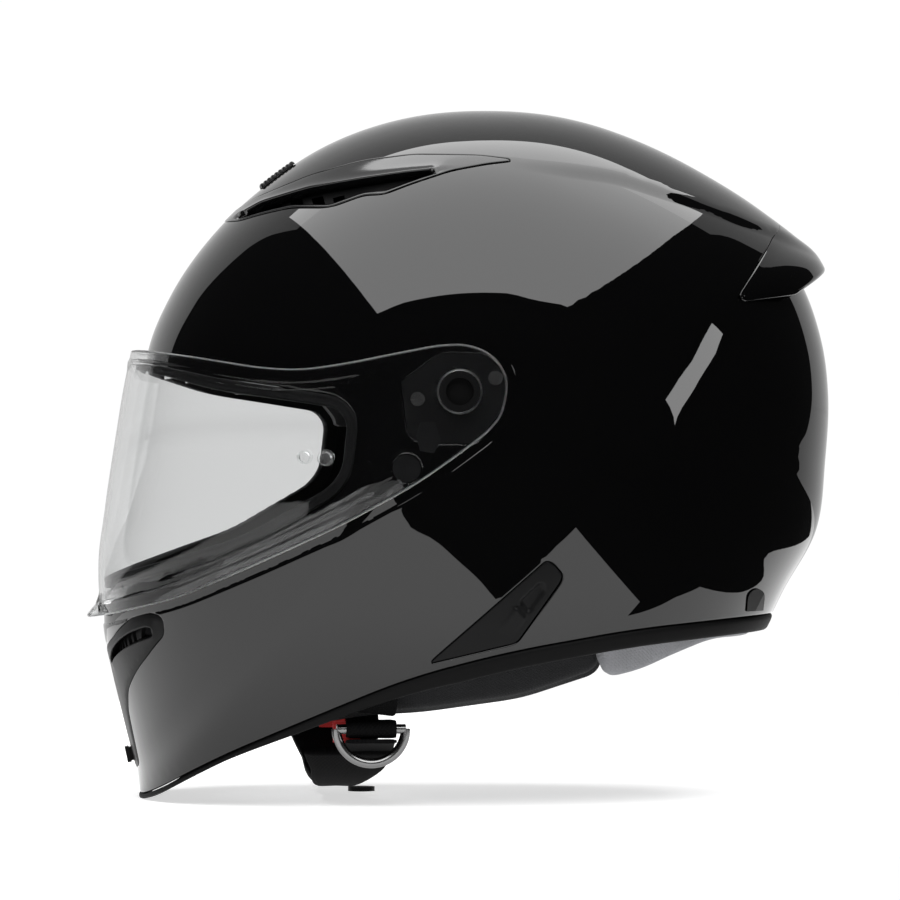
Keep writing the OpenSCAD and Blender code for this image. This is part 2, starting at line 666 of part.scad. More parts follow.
module strap_tail() color("#17171a") hung_band([for (i = [0 : 6]) let (u = i / 6)
  tail_start + [0.9 + u * 29, 0.5 + 5 * (1 - pow(1 - u, 2))]], web_t, web_w);
// Both rings hang in one closed loop of webbing.
module chin_strap_short() color("#1a1a1c") translate([0, fold_at[0] + web_w / 2, 0]) rotate([90, 0, 0])
  difference() {
    linear_extrude(web_w) loop_outline(wire_d / 2 + 0.1 + web_t);
    translate([0, 0, -1]) linear_extrude(web_w + 2) loop_outline(wire_d / 2 + 0.1);
  }
module loop_outline(r) {
  for (x = ring_x) translate([x, ring_z]) circle(r, $fn = 32);
  translate([ring_x[1], ring_z - r]) square([ring_pitch, 2 * r]);
}
module d_ring(x) {
  color("#a9abaf") translate([x, fold_at[0], ring_z]) rotate([0, 90, 0]) {
    rotate([0, 0, -90]) rotate_extrude(angle = 180, $fn = 48)
      translate([ring_r, 0]) circle(d = wire_d, $fn = 20);
    rotate([90, 0, 0]) cylinder(d = wire_d, h = 2 * ring_r, center = true, $fn = 20);
  }
}
module d_ring_outer() d_ring(ring_x[0]);
module d_ring_inner() d_ring(ring_x[1]);
module strap_snap() color("#2a2a2c") translate([0, fold_at[0], strap_low - sleeve_t / 2 - 2.3])
  cylinder(r = 6, h = 2, $fn = 32);

outer_shell();
rear_spoiler();
crown_foam();
chin_foam();
comfort_liner();
eye_port_gasket();
bottom_trim();
breath_deflector();
neck_roll();
cheek_pad_left();
cheek_pad_right();
cheek_foam_left();
cheek_foam_right();
cheek_plate_left();
cheek_plate_right();
cheek_plate_snaps();
pull_tab_left();
pull_tab_right();
forehead_vent_cover();
forehead_vent_grille();
forehead_vent_slider();
forehead_vent_shutter();
chin_vent_frame();
chin_vent_grille();
chin_vent_slider();
chin_vent_shutter();
side_insert_left();
side_insert_right();
rear_port_left();
rear_port_right();
base_plate_left();
base_plate_right();
base_plate_screws();
release_lever_left();
release_lever_right();
visor();
lens_pin_left();
lens_pin_right();
strap_rivet_left();
strap_rivet_right();
anchor_plate_left();
anchor_plate_right();
strap_web_left();
strap_web_right();
chin_strap_long();
chin_strap_short();
strap_tail();
d_ring_outer();
d_ring_inner();
strap_snap();
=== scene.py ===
# Finishes a full-face motorcycle helmet: polished shell, clear visor, vents, trim, pads and straps.
# Lengths are in millimetres inside the shape functions and become metres where a mesh is made.
import math

import bmesh
import bpy
import numpy as np
from bpy.props import FloatProperty, FloatVectorProperty, PointerProperty
from mathutils import Matrix, Vector
from mathutils.geometry import delaunay_2d_cdt


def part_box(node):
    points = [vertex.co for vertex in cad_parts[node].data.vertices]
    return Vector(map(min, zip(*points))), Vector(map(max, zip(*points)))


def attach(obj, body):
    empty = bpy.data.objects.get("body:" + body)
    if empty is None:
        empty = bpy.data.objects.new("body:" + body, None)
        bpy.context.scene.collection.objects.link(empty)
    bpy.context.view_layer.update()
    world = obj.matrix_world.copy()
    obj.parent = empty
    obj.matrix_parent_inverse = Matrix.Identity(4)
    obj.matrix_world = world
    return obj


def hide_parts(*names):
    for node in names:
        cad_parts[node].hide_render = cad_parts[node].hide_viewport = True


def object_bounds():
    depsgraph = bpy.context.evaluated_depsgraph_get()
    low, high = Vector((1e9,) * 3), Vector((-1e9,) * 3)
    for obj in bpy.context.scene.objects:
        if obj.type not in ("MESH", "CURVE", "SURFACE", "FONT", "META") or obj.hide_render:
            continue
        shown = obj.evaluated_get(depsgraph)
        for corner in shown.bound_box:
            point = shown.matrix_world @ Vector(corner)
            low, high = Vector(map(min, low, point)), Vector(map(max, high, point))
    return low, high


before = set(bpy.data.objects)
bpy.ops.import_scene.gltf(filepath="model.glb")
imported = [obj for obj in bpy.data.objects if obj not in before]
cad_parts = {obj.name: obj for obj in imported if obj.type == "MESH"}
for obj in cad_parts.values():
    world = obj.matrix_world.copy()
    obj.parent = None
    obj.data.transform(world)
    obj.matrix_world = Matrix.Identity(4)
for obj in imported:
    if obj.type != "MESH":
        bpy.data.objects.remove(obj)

bl_info = {
    "name": "Full-face helmet finish",
    "version": (1, 0, 0),
    "blender": (4, 5, 0),
    "location": "3D View > Sidebar > Helmet",
    "description": "Builds the polished shell, clear visor, trim, pads and straps of a full-face helmet",
    "category": "Object",
}

MM = 0.001
ROUND_PLAN = 2.4
ROUND_SIDE = 2.1
VISOR_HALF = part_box("visor")[1][0] / MM
WHOLE_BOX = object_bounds()

CAMERA_TARGET = (0, 0.00395, -0.0251)
CAMERA_TURN = 86.2
CAMERA_AWAY = 2.6
LENS = 231.1
TAB_HALF = 13
SLIDER_TURN = 53
RIVET_CENTRE = (-22.5, -33)

# Side profiles: the angle up from straight ahead, and the distance from the visor pivot.
SHELL_PROFILE = [(-160, 179.5), (-150, 177.5), (-138, 183), (-122, 193), (-105, 200), (-90, 203), (-75, 210),
                 (-63, 224), (-55, 229), (-50, 214), (-45, 202), (-40, 192.5), (-35, 184.5), (-31, 176),
                 (-28, 167.5), (-24, 159.5), (-18, 150), (-12, 143), (-6, 138), (0, 134.5), (10, 132.8),
                 (20, 129.4), (35, 125), (50, 122.5), (65, 123), (80, 124.5), (95, 127.2), (110, 131.6),
                 (125, 137.5), (140, 149), (152, 161), (162, 169), (172, 172.8), (180, 174.2), (190, 175.5)]
FAIRING_PROFILE = [(-120, 170), (-60, 120), (0, 110), (60, 116), (90, 123.5), (105, 129.5), (118, 136),
                   (130, 143.7), (140, 152.3), (150, 164.2), (156, 173), (161, 181.5), (170, 182), (200, 180)]
VISOR_PROFILE = [(-170, 160), (-130, 190), (-90, 206), (-60, 216), (-45, 203), (-38, 190), (-34, 183.5),
                 (-30, 177.5), (-25, 169.7), (-20, 161.4), (-15, 154.9), (-10, 149.7), (-5, 145.9),
                 (0, 143.3), (5, 141.4), (12, 140), (40, 139), (90, 139), (140, 142)]

# Side-view outlines, (front to back, height) from the pivot.
RIM_LINE = [(-260, -250), (-134, -178), (-104, -160), (-67, -143.5), (-21, -124), (23, -112.5), (79, -103),
            (135, -98.5), (260, -97)]
EYE_PORT = [(-210, 34), (-137, 10), (-107, 1), (-80, -3), (-54, -7), (-49, -13), (-51, -34), (-57, -42),
            (-94, -63), (-148, -81), (-210, -104)]
VISOR_OUTLINE = [(-210, 27), (-133, 19), (-110, 15), (-86, 10.7), (-68, 9.6), (-47, 12.7), (-26, 17),
                 (-8, 20.4), (3, 20.6), (12, 17.5), (18, 12), (21, 4), (20, -4), (18, -11), (12, -18),
                 (-4, -30), (-20, -41), (-50, -57.5), (-86, -74.4), (-120, -89.5), (-152, -98.8),
                 (-210, -115)]
CRESCENT = [(-102, 79), (-94, 76), (-82, 79), (-70, 81.3), (-54, 80.6), (-39, 86), (-31, 86), (-18, 91),
            (-1, 96.7), (15, 99.8), (25, 101), (24.5, 101.9), (12, 103.5), (-17, 104.1), (-39, 101.5),
            (-61, 95.8), (-86, 86.2), (-96, 80)]
VENT_MOUTH = [(-94, 77.2), (-82, 80.6), (-70, 83.1), (-54, 82.6), (-39, 88), (-30, 88.6), (-8, 96.4),
              (-20, 95.2), (-39, 92.6), (-62, 89), (-82, 83.6)]
SEAM_LINE = [(124, 42.5), (149.5, 76)]
CREASE = [(18, 99), (44, 94.2), (73, 90.5), (91, 84.5), (108, 79.2), (141, 66), (158, 54.5), (175, 46)]
SPOILER_OUTLINE = [(150, 76), (124.5, 42.5), (127, 39.5), (154, 43.5), (172, 54.5), (200, 66), (170, 100)]
INSERT_OUTLINE = [(38, -73), (41, -74), (45.5, -79), (44.5, -82), (26, -108.5), (-12, -117.5), (-7, -112.8)]
INSERT_SLOT = [(36, -81.5), (38.5, -85), (31, -96.5), (26, -91)]
INSERT_RAMP = [(25, -92), (30, -97.5), (24, -106.5), (17.5, -103.5)]
PLATE_OUTLINE = [(-25, 4), (-22, -19), (-16.5, -22), (7, -22.5), (19, -7), (20.5, 7), (11, 16), (-8, 16.5)]
STRAP_WEB = [(-19.8, -21.7), (-15, -23.5), (-11.9, -30), (-12.3, -34.2), (-25.4, -141.3), (-46.6, -138.7),
             (-33.5, -31.6), (-31, -25.5), (-26.5, -22.2)]
CHEEK_OUTLINE = [(-84, -73), (-56, -53), (-42, -42), (-38, -24), (16, -20), (38, -45), (62, -95), (67, -122),
                 (30, -134), (-14, -140), (-38, -141), (-66, -146), (-83, -138)]
ROLL_OUTLINE = [(64.5, -90), (68, -130), (86, -126), (100, -120), (120, -113), (210, -112), (210, -99),
                (100, -82), (70, -76)]
LINER_LINE = [(-160, 24), (-70, 12), (0, 6), (60, -24), (160, -66)]

# The floor seen from above, (left of the middle, front to back).
FLOOR_OUTLINE = [(-1000, -1150), (1300, -1150), (1300, -80), (800, -10), (520, 10), (280, 50), (290, 100),
                 (380, 130), (490, 240), (290, 220), (190, 210), (180, 180), (150, 250), (120, 300), (0, 330),
                 (-600, 500), (-1000, 1150)]

# Front-view outlines of the chin vent's left half, (out from the middle, height).
CHIN_VENT_HALF = [(0, -112.5), (14, -111.3), (28.8, -108), (51.1, -99.2), (64, -96.6), (69.5, -97), (71, -99),
                  (70.2, -105.5), (57.6, -115.3), (32.1, -131.4), (24, -141), (18.7, -165), (0, -167.5)]
CHIN_MOUTH_HALF = [(17, -117.6), (24.7, -113.6), (38, -108.9), (51, -105), (62, -102.4), (65.3, -103),
                   (64.5, -106.4), (45, -111.4), (24.7, -117.2), (18.5, -119.6)]


class HelmetSizes(bpy.types.PropertyGroup):
    """The sizes that a user would change."""

    shell_wall: FloatProperty(name="Shell wall", description="Wall of the outer shell", default=0.003,
                              unit="LENGTH")
    visor_wall: FloatProperty(name="Visor wall", description="Thickness of the clear visor", default=0.0022,
                              unit="LENGTH")
    visor_gap: FloatProperty(name="Visor gap", description="Space between the visor and the shell",
                             default=0.0008, unit="LENGTH")
    hub_radius: FloatProperty(name="Hub radius", description="Radius of the hub that the visor turns on",
                              default=0.009, unit="LENGTH")
    trim_rise: FloatProperty(name="Trim rise", description="How far the rubber trim stands out of the shell",
                             default=0.0008, unit="LENGTH")
    webbing_wall: FloatProperty(name="Webbing thickness", description="Thickness of the strap webbing",
                                default=0.002, unit="LENGTH")


class HelmetColours(bpy.types.PropertyGroup):
    """The colours that a user would change."""

    shell: FloatVectorProperty(name="Shell", description="Paint of the outer shell", subtype="COLOR", size=4,
                               default=(0.0012, 0.0012, 0.0013, 1), min=0, max=1)
    plastic: FloatVectorProperty(name="Plastic", description="Vents, base plates and inserts",
                                 subtype="COLOR", size=4, default=(0.0035, 0.0035, 0.0037, 1), min=0, max=1)
    rubber: FloatVectorProperty(name="Rubber", description="Gasket and trim", subtype="COLOR", size=4,
                                default=(0.0032, 0.0032, 0.0033, 1), min=0, max=1)
    lining: FloatVectorProperty(name="Lining", description="Knit of the pads and the liner", subtype="COLOR",
                                size=4, default=(0.009, 0.0092, 0.01, 1), min=0, max=1)
    collar: FloatVectorProperty(name="Collar", description="Knit of the neck roll", subtype="COLOR", size=4,
                                default=(0.2, 0.203, 0.215, 1), min=0, max=1)
    webbing: FloatVectorProperty(name="Webbing", description="Chin strap", subtype="COLOR", size=4,
                                 default=(0.0018, 0.0018, 0.002, 1), min=0, max=1)
    pull: FloatVectorProperty(name="Pull tab", description="Emergency pull tabs", subtype="COLOR", size=4,
                              default=(0.5, 0.012, 0.012, 1), min=0, max=1)


def sizes():
    """The sizes in millimetres, as one object with a value for each property."""
    group = bpy.context.scene.helmet_sizes
    return {name: getattr(group, name) / MM for name in HelmetSizes.__annotations__}


# ---- Shapes ----


def loop_reach(knots, angle):
    """Reach at an angle in degrees: cubics between the knots, where a knot's slope is that between its
    neighbours."""
    k = np.array(knots, float)
    k = np.vstack([k[-2:] - [360, 0], k, k[:3] + [360, 0]])
    slope = (k[2:, 1] - k[:-2, 1]) / (k[2:, 0] - k[:-2, 0])
    turned = (angle - k[2, 0]) % 360 + k[2, 0]
    i = np.clip(np.searchsorted(k[:, 0], turned, side="right") - 1, 2, len(k) - 4)
    h = k[i + 1, 0] - k[i, 0]
    s = (turned - k[i, 0]) / h
    return ((1 + 2 * s) * (1 - s) ** 2 * k[i, 1] + s * s * (3 - 2 * s) * k[i + 1, 1]
            + h * s * (1 - s) * ((1 - s) * slope[i - 1] - s * slope[i]))


class Dome:
    """A closed egg round the X axis. At angle a round the axis and t down from its left pole, a point lies
    half * cos(t) ^ (2 / 2.1) across and reach(a) * sin(t) ^ (2 / 2.4) out. Flat coordinates lay its left half
    out as a disc whose radius is reach(a) * t."""

    def __init__(self, knots, half, inset=0.0, cap=1e9, centre=(0, 0)):
        self.knots, self.half = knots, half
        self.inset, self.cap = inset, cap
        self.centre = np.array(centre, float)

    def reach(self, angle):
        """How far the dome reaches on the middle plane at an angle in degrees."""
        known = self.knots(angle) if callable(self.knots) else loop_reach(self.knots, angle)
        return known - self.inset

    def angle_of(self, side):
        """The angle of side-view points round the dome's centre, in degrees."""
        return np.degrees(np.arctan2(side[:, 1] - self.centre[1], self.centre[0] - side[:, 0]))

    def flat(self, side):
        """Side-view points to flat coordinates; a point past the outline goes to the middle plane."""
        from_centre = np.asarray(side, float) - self.centre
        out = np.hypot(from_centre[:, 0], from_centre[:, 1])
        reach = self.reach(self.angle_of(np.asarray(side, float)))
        t = np.arcsin(np.minimum(out / reach, 1) ** (ROUND_PLAN / 2))
        return from_centre * (reach * t / np.maximum(out, 1e-9))[:, None]

    def place(self, flat, depth=0.0):
        """Flat coordinates to points, at a depth under the surface."""
        s = np.hypot(flat[:, 0], flat[:, 1])
        angle = np.degrees(np.arctan2(flat[:, 1], -flat[:, 0]))
        reach = self.reach(angle)
        t = s / reach
        out = (reach - depth) * np.abs(np.sin(t)) ** (2 / ROUND_PLAN)
        across = (self.half - depth) * np.sign(np.cos(t)) * np.abs(np.cos(t)) ** (2 / ROUND_SIDE)
        across[np.abs(t - math.pi / 2) < 2e-5] = 0
        a = np.radians(angle)
        cap = self.cap - depth
        return np.stack([np.clip(across, -cap, cap), self.centre[0] - out * np.cos(a),
                         self.centre[1] + out * np.sin(a)], -1)

    def holds(self, flat):
        """Whether flat points lie on the dome's left half."""
        angle = np.degrees(np.arctan2(flat[:, 1], -flat[:, 0]))
        return np.hypot(*flat.T) < self.reach(angle) * math.pi / 2

    def normal(self, flat, place=None):
        """Unit normals, from the cross product of the surface's two slopes."""
        place = place or self.place
        h = 0.04
        du = place(flat + [h, 0]) - place(flat - [h, 0])
        dv = place(flat + [0, h]) - place(flat - [0, h])
        n = np.cross(du, dv)
        return n / np.maximum(np.linalg.norm(n, axis=1), 1e-12)[:, None]

    def edge(self, line, step=1.2):
        """The stretch of a side-view line that lies on the dome, in flat coordinates, with its ends on the
        middle plane."""
        side = spaced(np.array(line, float), 0.05)
        out = np.hypot(*(side - self.centre).T)
        on = out < self.reach(self.angle_of(side))
        first, last = np.flatnonzero(on)[[0, -1]]
        return spaced(self.flat(side[max(first - 1, 0):last + 2]), step)


def spaced(line, step, closed=False):
    """The line with points every step along it, counted so that they come out even."""
    if closed:
        line = np.vstack([line, line[:1]])
    run = np.concatenate([[0], np.cumsum(np.linalg.norm(np.diff(line, axis=0), axis=1))])
    count = max(int(round(run[-1] / step)), 2)
    at = np.linspace(0, run[-1], count + 1)
    points = np.stack([np.interp(at, run, line[:, i]) for i in range(line.shape[1])], -1)
    return points[:-1] if closed else points


def softened(points, radius, closed=True, step=0.5):
    """The outline with each corner drawn as a parabola that starts a radius before it, or half an edge."""
    p = np.array(points, float)
    n = len(p)
    pieces = []
    for i in range(n):
        if not closed and i in (0, n - 1):
            pieces.append(p[i:i + 1])
            continue
        before, after = p[i - 1] - p[i], p[(i + 1) % n] - p[i]
        a, b = np.linalg.norm(before), np.linalg.norm(after)
        cut = min(radius, 0.5 * a, 0.5 * b)
        start, end = p[i] + before / a * cut, p[i] + after / b * cut
        s = np.linspace(0, 1, max(3, int(2 * cut / step)))[:, None]
        pieces.append((1 - s) ** 2 * start + 2 * s * (1 - s) * p[i] + s * s * end)
    return np.vstack(pieces)


def turned_out(points):
    """Unit normals of a closed outline, pointing out of it."""
    p = np.asarray(points, float)
    along = np.roll(p, -1, 0) - np.roll(p, 1, 0)
    area = np.sum(p[:, 0] * np.roll(p[:, 1], -1) - np.roll(p[:, 0], -1) * p[:, 1])
    n = np.stack([along[:, 1], -along[:, 0]], -1) * (1 if area > 0 else -1)
    return n / np.maximum(np.linalg.norm(n, axis=1), 1e-12)[:, None]


def grown(points, amount):
    """The softened outline moved out along its normals."""
    return points + amount * turned_out(points)


def within(outline, points):
    """Whether each point lies in the outline: the count of edges crossed on the way to the right is odd."""
    a = np.asarray(outline, float)
    b = np.roll(a, -1, 0)
    inside = np.zeros(len(points), bool)
    for start in range(0, len(points), 4000):
        p = points[start:start + 4000]
        spans = (a[:, 1] > p[:, None, 1]) != (b[:, 1] > p[:, None, 1])
        rise = np.where(b[:, 1] == a[:, 1], 1e-12, b[:, 1] - a[:, 1])
        cross = (b[:, 0] - a[:, 0]) * (p[:, None, 1] - a[:, 1]) / rise + a[:, 0]
        inside[start:start + 4000] = (spans & (p[:, None, 0] < cross)).sum(1) % 2 == 1
    return inside


def distance(points, line):
    """Distance from each point to the nearest piece of the line."""
    a, d = line[:-1], np.diff(line, axis=0)
    length = np.maximum((d * d).sum(1), 1e-12)
    found = np.empty(len(points))
    for start in range(0, len(points), 3000):
        p = points[start:start + 3000, None]
        s = np.clip(((p - a) * d).sum(-1) / length, 0, 1)
        found[start:start + 3000] = np.sqrt((((p - a) - s[..., None] * d) ** 2).sum(-1).min(1))
    return found


def triangles(lines, spacing, low, high, keep):
    """Flat points and triangles: each line stays an edge with rows of points along it at its own ring
    distances, and a lattice of equilateral triangles fills the rest. keep() says which triangles stay."""
    points, edges, rows = [], [], []
    count = 0
    for line, rings in lines:
        n = len(line)
        points.append(line)
        edges += [(count + i, count + i + 1) for i in range(n - 1)]
        count += n
        along = np.gradient(line, axis=0)
        side = np.stack([along[:, 1], -along[:, 0]], -1)
        side /= np.maximum(np.linalg.norm(side, axis=1), 1e-12)[:, None]
        for ring in rings:
            thin = 1 if ring < 2.4 else 2
            for sign in (-1, 1):
                row = (line + sign * ring * side)[::thin]
                rows.append(np.column_stack([row, np.full(len(row), ring)]))
    if rows:
        rows = np.vstack(rows)
        near = np.min([distance(rows[:, :2], line) for line, rings in lines], axis=0)
        rows = rows[near > 0.93 * rows[:, 2]]
    nx, ny = int((high[0] - low[0]) / spacing) + 2, int((high[1] - low[1]) / (spacing * 0.866)) + 2
    gx, gy = np.meshgrid(np.arange(nx), np.arange(ny))
    lattice = np.stack([low[0] + (gx + 0.5 * (gy % 2)) * spacing, low[1] + gy * spacing * 0.866], -1)
    lattice = lattice.reshape(-1, 2)
    clear = np.min([distance(lattice, line) - (rings[-1] if rings else 0) for line, rings in lines], axis=0)
    lattice = lattice[clear > 0.5 * spacing]
    flat = np.vstack(points + ([rows[:, :2]] if len(rows) else []) + [lattice])
    made = delaunay_2d_cdt([tuple(p) for p in flat], edges, [], 0, 1e-4)
    flat = np.array([tuple(v) for v in made[0]])
    tris = np.array([f for f in made[2] if len(f) == 3])
    corner = flat[tris]
    one, two = corner[:, 1] - corner[:, 0], corner[:, 2] - corner[:, 0]
    area = one[:, 0] * two[:, 1] - one[:, 1] * two[:, 0]
    tris[area < 0] = tris[area < 0][:, ::-1]
    tris = tris[np.abs(area) > 1e-7]
    tris = tris[keep(flat[tris].mean(1))]
    used, tris = np.unique(tris, return_inverse=True)
    return flat[used], tris.reshape(-1, 3)


def rounded_drop(gap, radius):
    """How far a rounded edge falls at a distance from its rim: a quarter circle."""
    inner = np.clip(radius - gap, 0, radius)
    return radius - np.sqrt(np.maximum(radius ** 2 - inner ** 2, 0))


def solid(name, top, bottom, tris, top_normals=None, bottom_normals=None, mirror=True, smooth_top=None,
          smooth_under=None, edge=None, uv=None):
    """A closed piece from a top and a bottom sheet over the same triangles, with walls round their open
    edges. With mirror, the left half gets its mirror image, joined on the middle plane. edge is kept as an
    attribute."""
    n = len(top)
    edges = np.vstack([tris[:, [0, 1]], tris[:, [1, 2]], tris[:, [2, 0]]])
    keys = np.sort(edges, axis=1)
    _, index, times = np.unique(keys, axis=0, return_index=True, return_counts=True)
    border = edges[index[times == 1]]
    if mirror:
        border = border[~((np.abs(top[border[:, 0], 0]) < 1e-6) & (np.abs(top[border[:, 1], 0]) < 1e-6))]
    a, b = border[:, 0], border[:, 1]
    faces = np.vstack([tris, tris[:, ::-1] + n, np.stack([b, a, a + n], -1), np.stack([b, a + n, b + n], -1)])
    points = np.vstack([top, bottom])
    rim = np.zeros(2 * n, bool)
    rim[np.concatenate([a, b, a + n, b + n])] = True
    fixed = np.zeros((2 * n, 3))
    if top_normals is not None:
        fixed[:n] = top_normals
        fixed[n:] = -(bottom_normals if bottom_normals is not None else top_normals)
        if smooth_top is not None:
            fixed[:n][smooth_top] = 0
        if smooth_under is not None:
            fixed[n:][smooth_under] = 0
        fixed[rim] = 0
    source = np.arange(2 * n)
    if mirror:
        faces = faces[~(np.abs(points[faces, 0]) < 1e-6).all(1)]
        points, faces, fixed, source = mirrored(points, faces, fixed)
    piece = mesh_piece(name, points, faces, fixed, None if uv is None else np.vstack([uv, uv])[source])
    if edge is not None:
        kept = piece.data.attributes.new("edge", "FLOAT", "POINT")
        kept.data.foreach_set("value", np.concatenate([edge, edge])[source])
    return piece


def mirrored(points, faces, fixed):
    """The points and faces with their mirror image in the middle plane, sharing the points that lie on it."""
    middle = np.abs(points[:, 0]) < 1e-6
    twin = np.arange(len(points))
    twin[~middle] = len(points) + np.arange((~middle).sum())
    flip = np.array([-1, 1, 1])
    source = np.concatenate([np.arange(len(points)), np.flatnonzero(~middle)])
    return (np.vstack([points, points[~middle] * flip]), np.vstack([faces, twin[faces][:, ::-1]]),
            np.vstack([fixed, fixed[~middle] * flip]), source)


def mesh_piece(name, points, faces, fixed=None, uv=None):
    """A mesh object from points in millimetres. Normals in fixed that aren't zero replace the mesh's own."""
    mesh = bpy.data.meshes.new(name)
    faces = faces.tolist() if isinstance(faces, np.ndarray) else faces
    mesh.from_pydata((np.asarray(points) * MM).tolist(), [], faces)
    mesh.update()
    mesh.polygons.foreach_set("use_smooth", np.ones(len(mesh.polygons), bool))
    if uv is not None:
        layer = mesh.uv_layers.new(name="UVMap")
        loops = np.empty(len(mesh.loops), int)
        mesh.loops.foreach_get("vertex_index", loops)
        layer.data.foreach_set("uv", np.asarray(uv)[loops].ravel())
    if fixed is not None and np.any(fixed):
        own = np.empty(len(mesh.vertices) * 3)
        mesh.vertices.foreach_get("normal", own)
        own = own.reshape(-1, 3)
        have = np.linalg.norm(fixed, axis=1) > 0.5
        own[have] = fixed[have]
        mesh.normals_split_custom_set_from_vertices(own.tolist())
    piece = bpy.data.objects.new(name, mesh)
    bpy.context.scene.collection.objects.link(piece)
    return piece


def tube_grid(rings, closed_path=False):
    """Quads over rings of points, with fans over the first and last ring where the path is open."""
    count, n = rings.shape[:2]
    i, j = np.meshgrid(np.arange(count if closed_path else count - 1), np.arange(n), indexing="ij")
    a = i * n + j
    b = i * n + (j + 1) % n
    c = (i + 1) % count * n + (j + 1) % n
    d = (i + 1) % count * n + j
    quads = np.stack([a, b, c, d], -1).reshape(-1, 4).tolist()
    if not closed_path:
        quads.append(list(range(n))[::-1])
        quads.append([(count - 1) * n + k for k in range(n)])
    return rings.reshape(-1, 3), quads


def finished(piece, body, material, slot, *nodes):
    """The piece takes its material, rides on its body and stands for its CAD nodes."""
    piece.data.materials.clear()
    piece.data.materials.append(material)
    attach(piece, body)
    if nodes:
        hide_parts(*nodes)
    return piece


def shell_half():
    """Half width of the shell: the visor's, less its wall and its gap."""
    return VISOR_HALF + 0.3 - sizes()["visor_wall"] - sizes()["visor_gap"]


def shell_dome(depth=0.0):
    """The shell's outer skin, or one at a depth under it."""
    return Dome(SHELL_PROFILE, shell_half() - depth, depth)


def side_of(points):
    """The side view of points: front to back, and height."""
    return points[:, 1:3]


def middle_line(dome, low=-180.0, high=180.0, step=1.6):
    """The dome's meeting with the middle plane between two angles, in flat coordinates."""
    angle = np.linspace(low, high, int((high - low) / 360 * 1100 / step))
    a = np.radians(angle)
    return (dome.reach(angle) * math.pi / 2)[:, None] * np.stack([-np.cos(a), np.sin(a)], -1)


def from_across(dome, angle, across):
    """Flat coordinates of the point at an angle round the axis and a distance across."""
    t = np.arccos(np.clip(np.abs(across) / dome.half, 0, 1) ** (ROUND_SIDE / 2))
    a = np.radians(angle)
    return (dome.reach(angle) * t)[:, None] * np.stack([-np.cos(a), np.sin(a)], -1)


def front_flat(dome, front):
    """Front-view points, (across, height), on the dome's front: the angle is found by repeated correction."""
    angle = np.degrees(np.arctan2(front[:, 1], 140))
    share = (1 - np.clip(np.abs(front[:, 0]) / dome.half, 0, 1) ** ROUND_SIDE) ** (1 / ROUND_PLAN)
    for _ in range(60):
        out = dome.reach(angle) * share
        angle = 0.5 * angle + 0.5 * np.degrees(np.arcsin(np.clip(front[:, 1] / out, -0.99, 0.99)))
    return from_across(dome, angle, front[:, 0])


def fairing_out(angle, across):
    """How far out the crown fairing reaches: its profile times (1 - (across / half) ^ 2.1) ^ (1 / 2.4)."""
    share = np.clip(1 - np.clip(np.abs(across) / (0.93 * shell_half()), 0, 1) ** ROUND_SIDE, 0, 1)
    return loop_reach(FAIRING_PROFILE, angle) * share ** (1 / ROUND_PLAN)


def before_seam(side):
    """Positive where a side-view point lies in front of the seam between the shell and the spoiler."""
    (y0, z0), (y1, z1) = SEAM_LINE
    return ((side[:, 1] - z0) * (y1 - y0) - (side[:, 0] - y0) * (z1 - z0)) / math.hypot(y1 - y0, z1 - z0)


def crease_rise(side):
    """The shoulder over the crease: it rises to 1.7 mm within 5 mm above the line, and grows from its
    front."""
    line = softened(CREASE, 30, closed=False)
    gap = distance(side, line)
    above = side[:, 1] > np.interp(side[:, 0], line[:, 0], line[:, 1])
    rise = np.clip(np.where(above, gap, 0) / 5.0, 0, 1)
    grow = np.clip((side[:, 0] - 15) / 60, 0, 1)
    return 1.7 * rise * rise * (3 - 2 * rise) * grow * grow * (3 - 2 * grow)


def crown_reach(angle, across):
    """How far out the crown reaches: the further of the shell and its fairing, with the join smoothed over
    5 mm, and the shoulder over the crease."""
    dome = shell_dome()
    share = np.clip(1 - np.clip(np.abs(across) / dome.half, 0, 1) ** ROUND_SIDE, 0, 1)
    out = dome.reach(angle) * share ** (1 / ROUND_PLAN)
    fair = fairing_out(angle, across)
    h = np.clip(0.5 + 0.5 * (fair - out) / 5, 0, 1)
    a = np.radians(angle)
    side = out[:, None] * np.stack([-np.cos(a), np.sin(a)], -1)
    return out * (1 - h) + fair * h + 5 * h * (1 - h) + crease_rise(side) * (angle > 80)


def seam_points():
    """The seam between the crown and the spoiler as angles round the axis and distances across."""
    share = np.linspace(0, 1, 700)[:, None]
    side = np.array(SEAM_LINE[0]) * (1 - share) + np.array(SEAM_LINE[1]) * share
    angle = np.degrees(np.arctan2(side[:, 1], -side[:, 0]))
    out = np.hypot(*side.T) / loop_reach(FAIRING_PROFILE, angle)
    across = 0.93 * shell_half() * np.clip(1 - np.clip(out, 0, 1) ** ROUND_PLAN, 0, 1) ** (1 / ROUND_SIDE)
    return angle[::-1], across[::-1]


def crowned(flat):
    """The shell with its crown fairing, as far back as the seam."""
    base = shell_dome().place(flat)
    out = np.hypot(base[:, 1], base[:, 2])
    angle = np.degrees(np.arctan2(base[:, 2], -base[:, 1]))
    scale = crown_reach(angle, base[:, 0]) / np.maximum(out, 1e-9)
    moved = base * np.stack([np.ones_like(scale), scale, scale], -1)
    seam_angle, seam_across = seam_points()
    front = angle < np.interp(np.abs(base[:, 0]), seam_across, seam_angle) + 0.01
    return np.where((front & (angle > 60))[:, None], moved, base)


EDGE_RINGS = [0.05, 0.2, 0.4, 0.7, 1.2, 2.2]
FINE_RINGS = [0.12, 0.3, 0.5, 0.75, 1.3, 2.2]


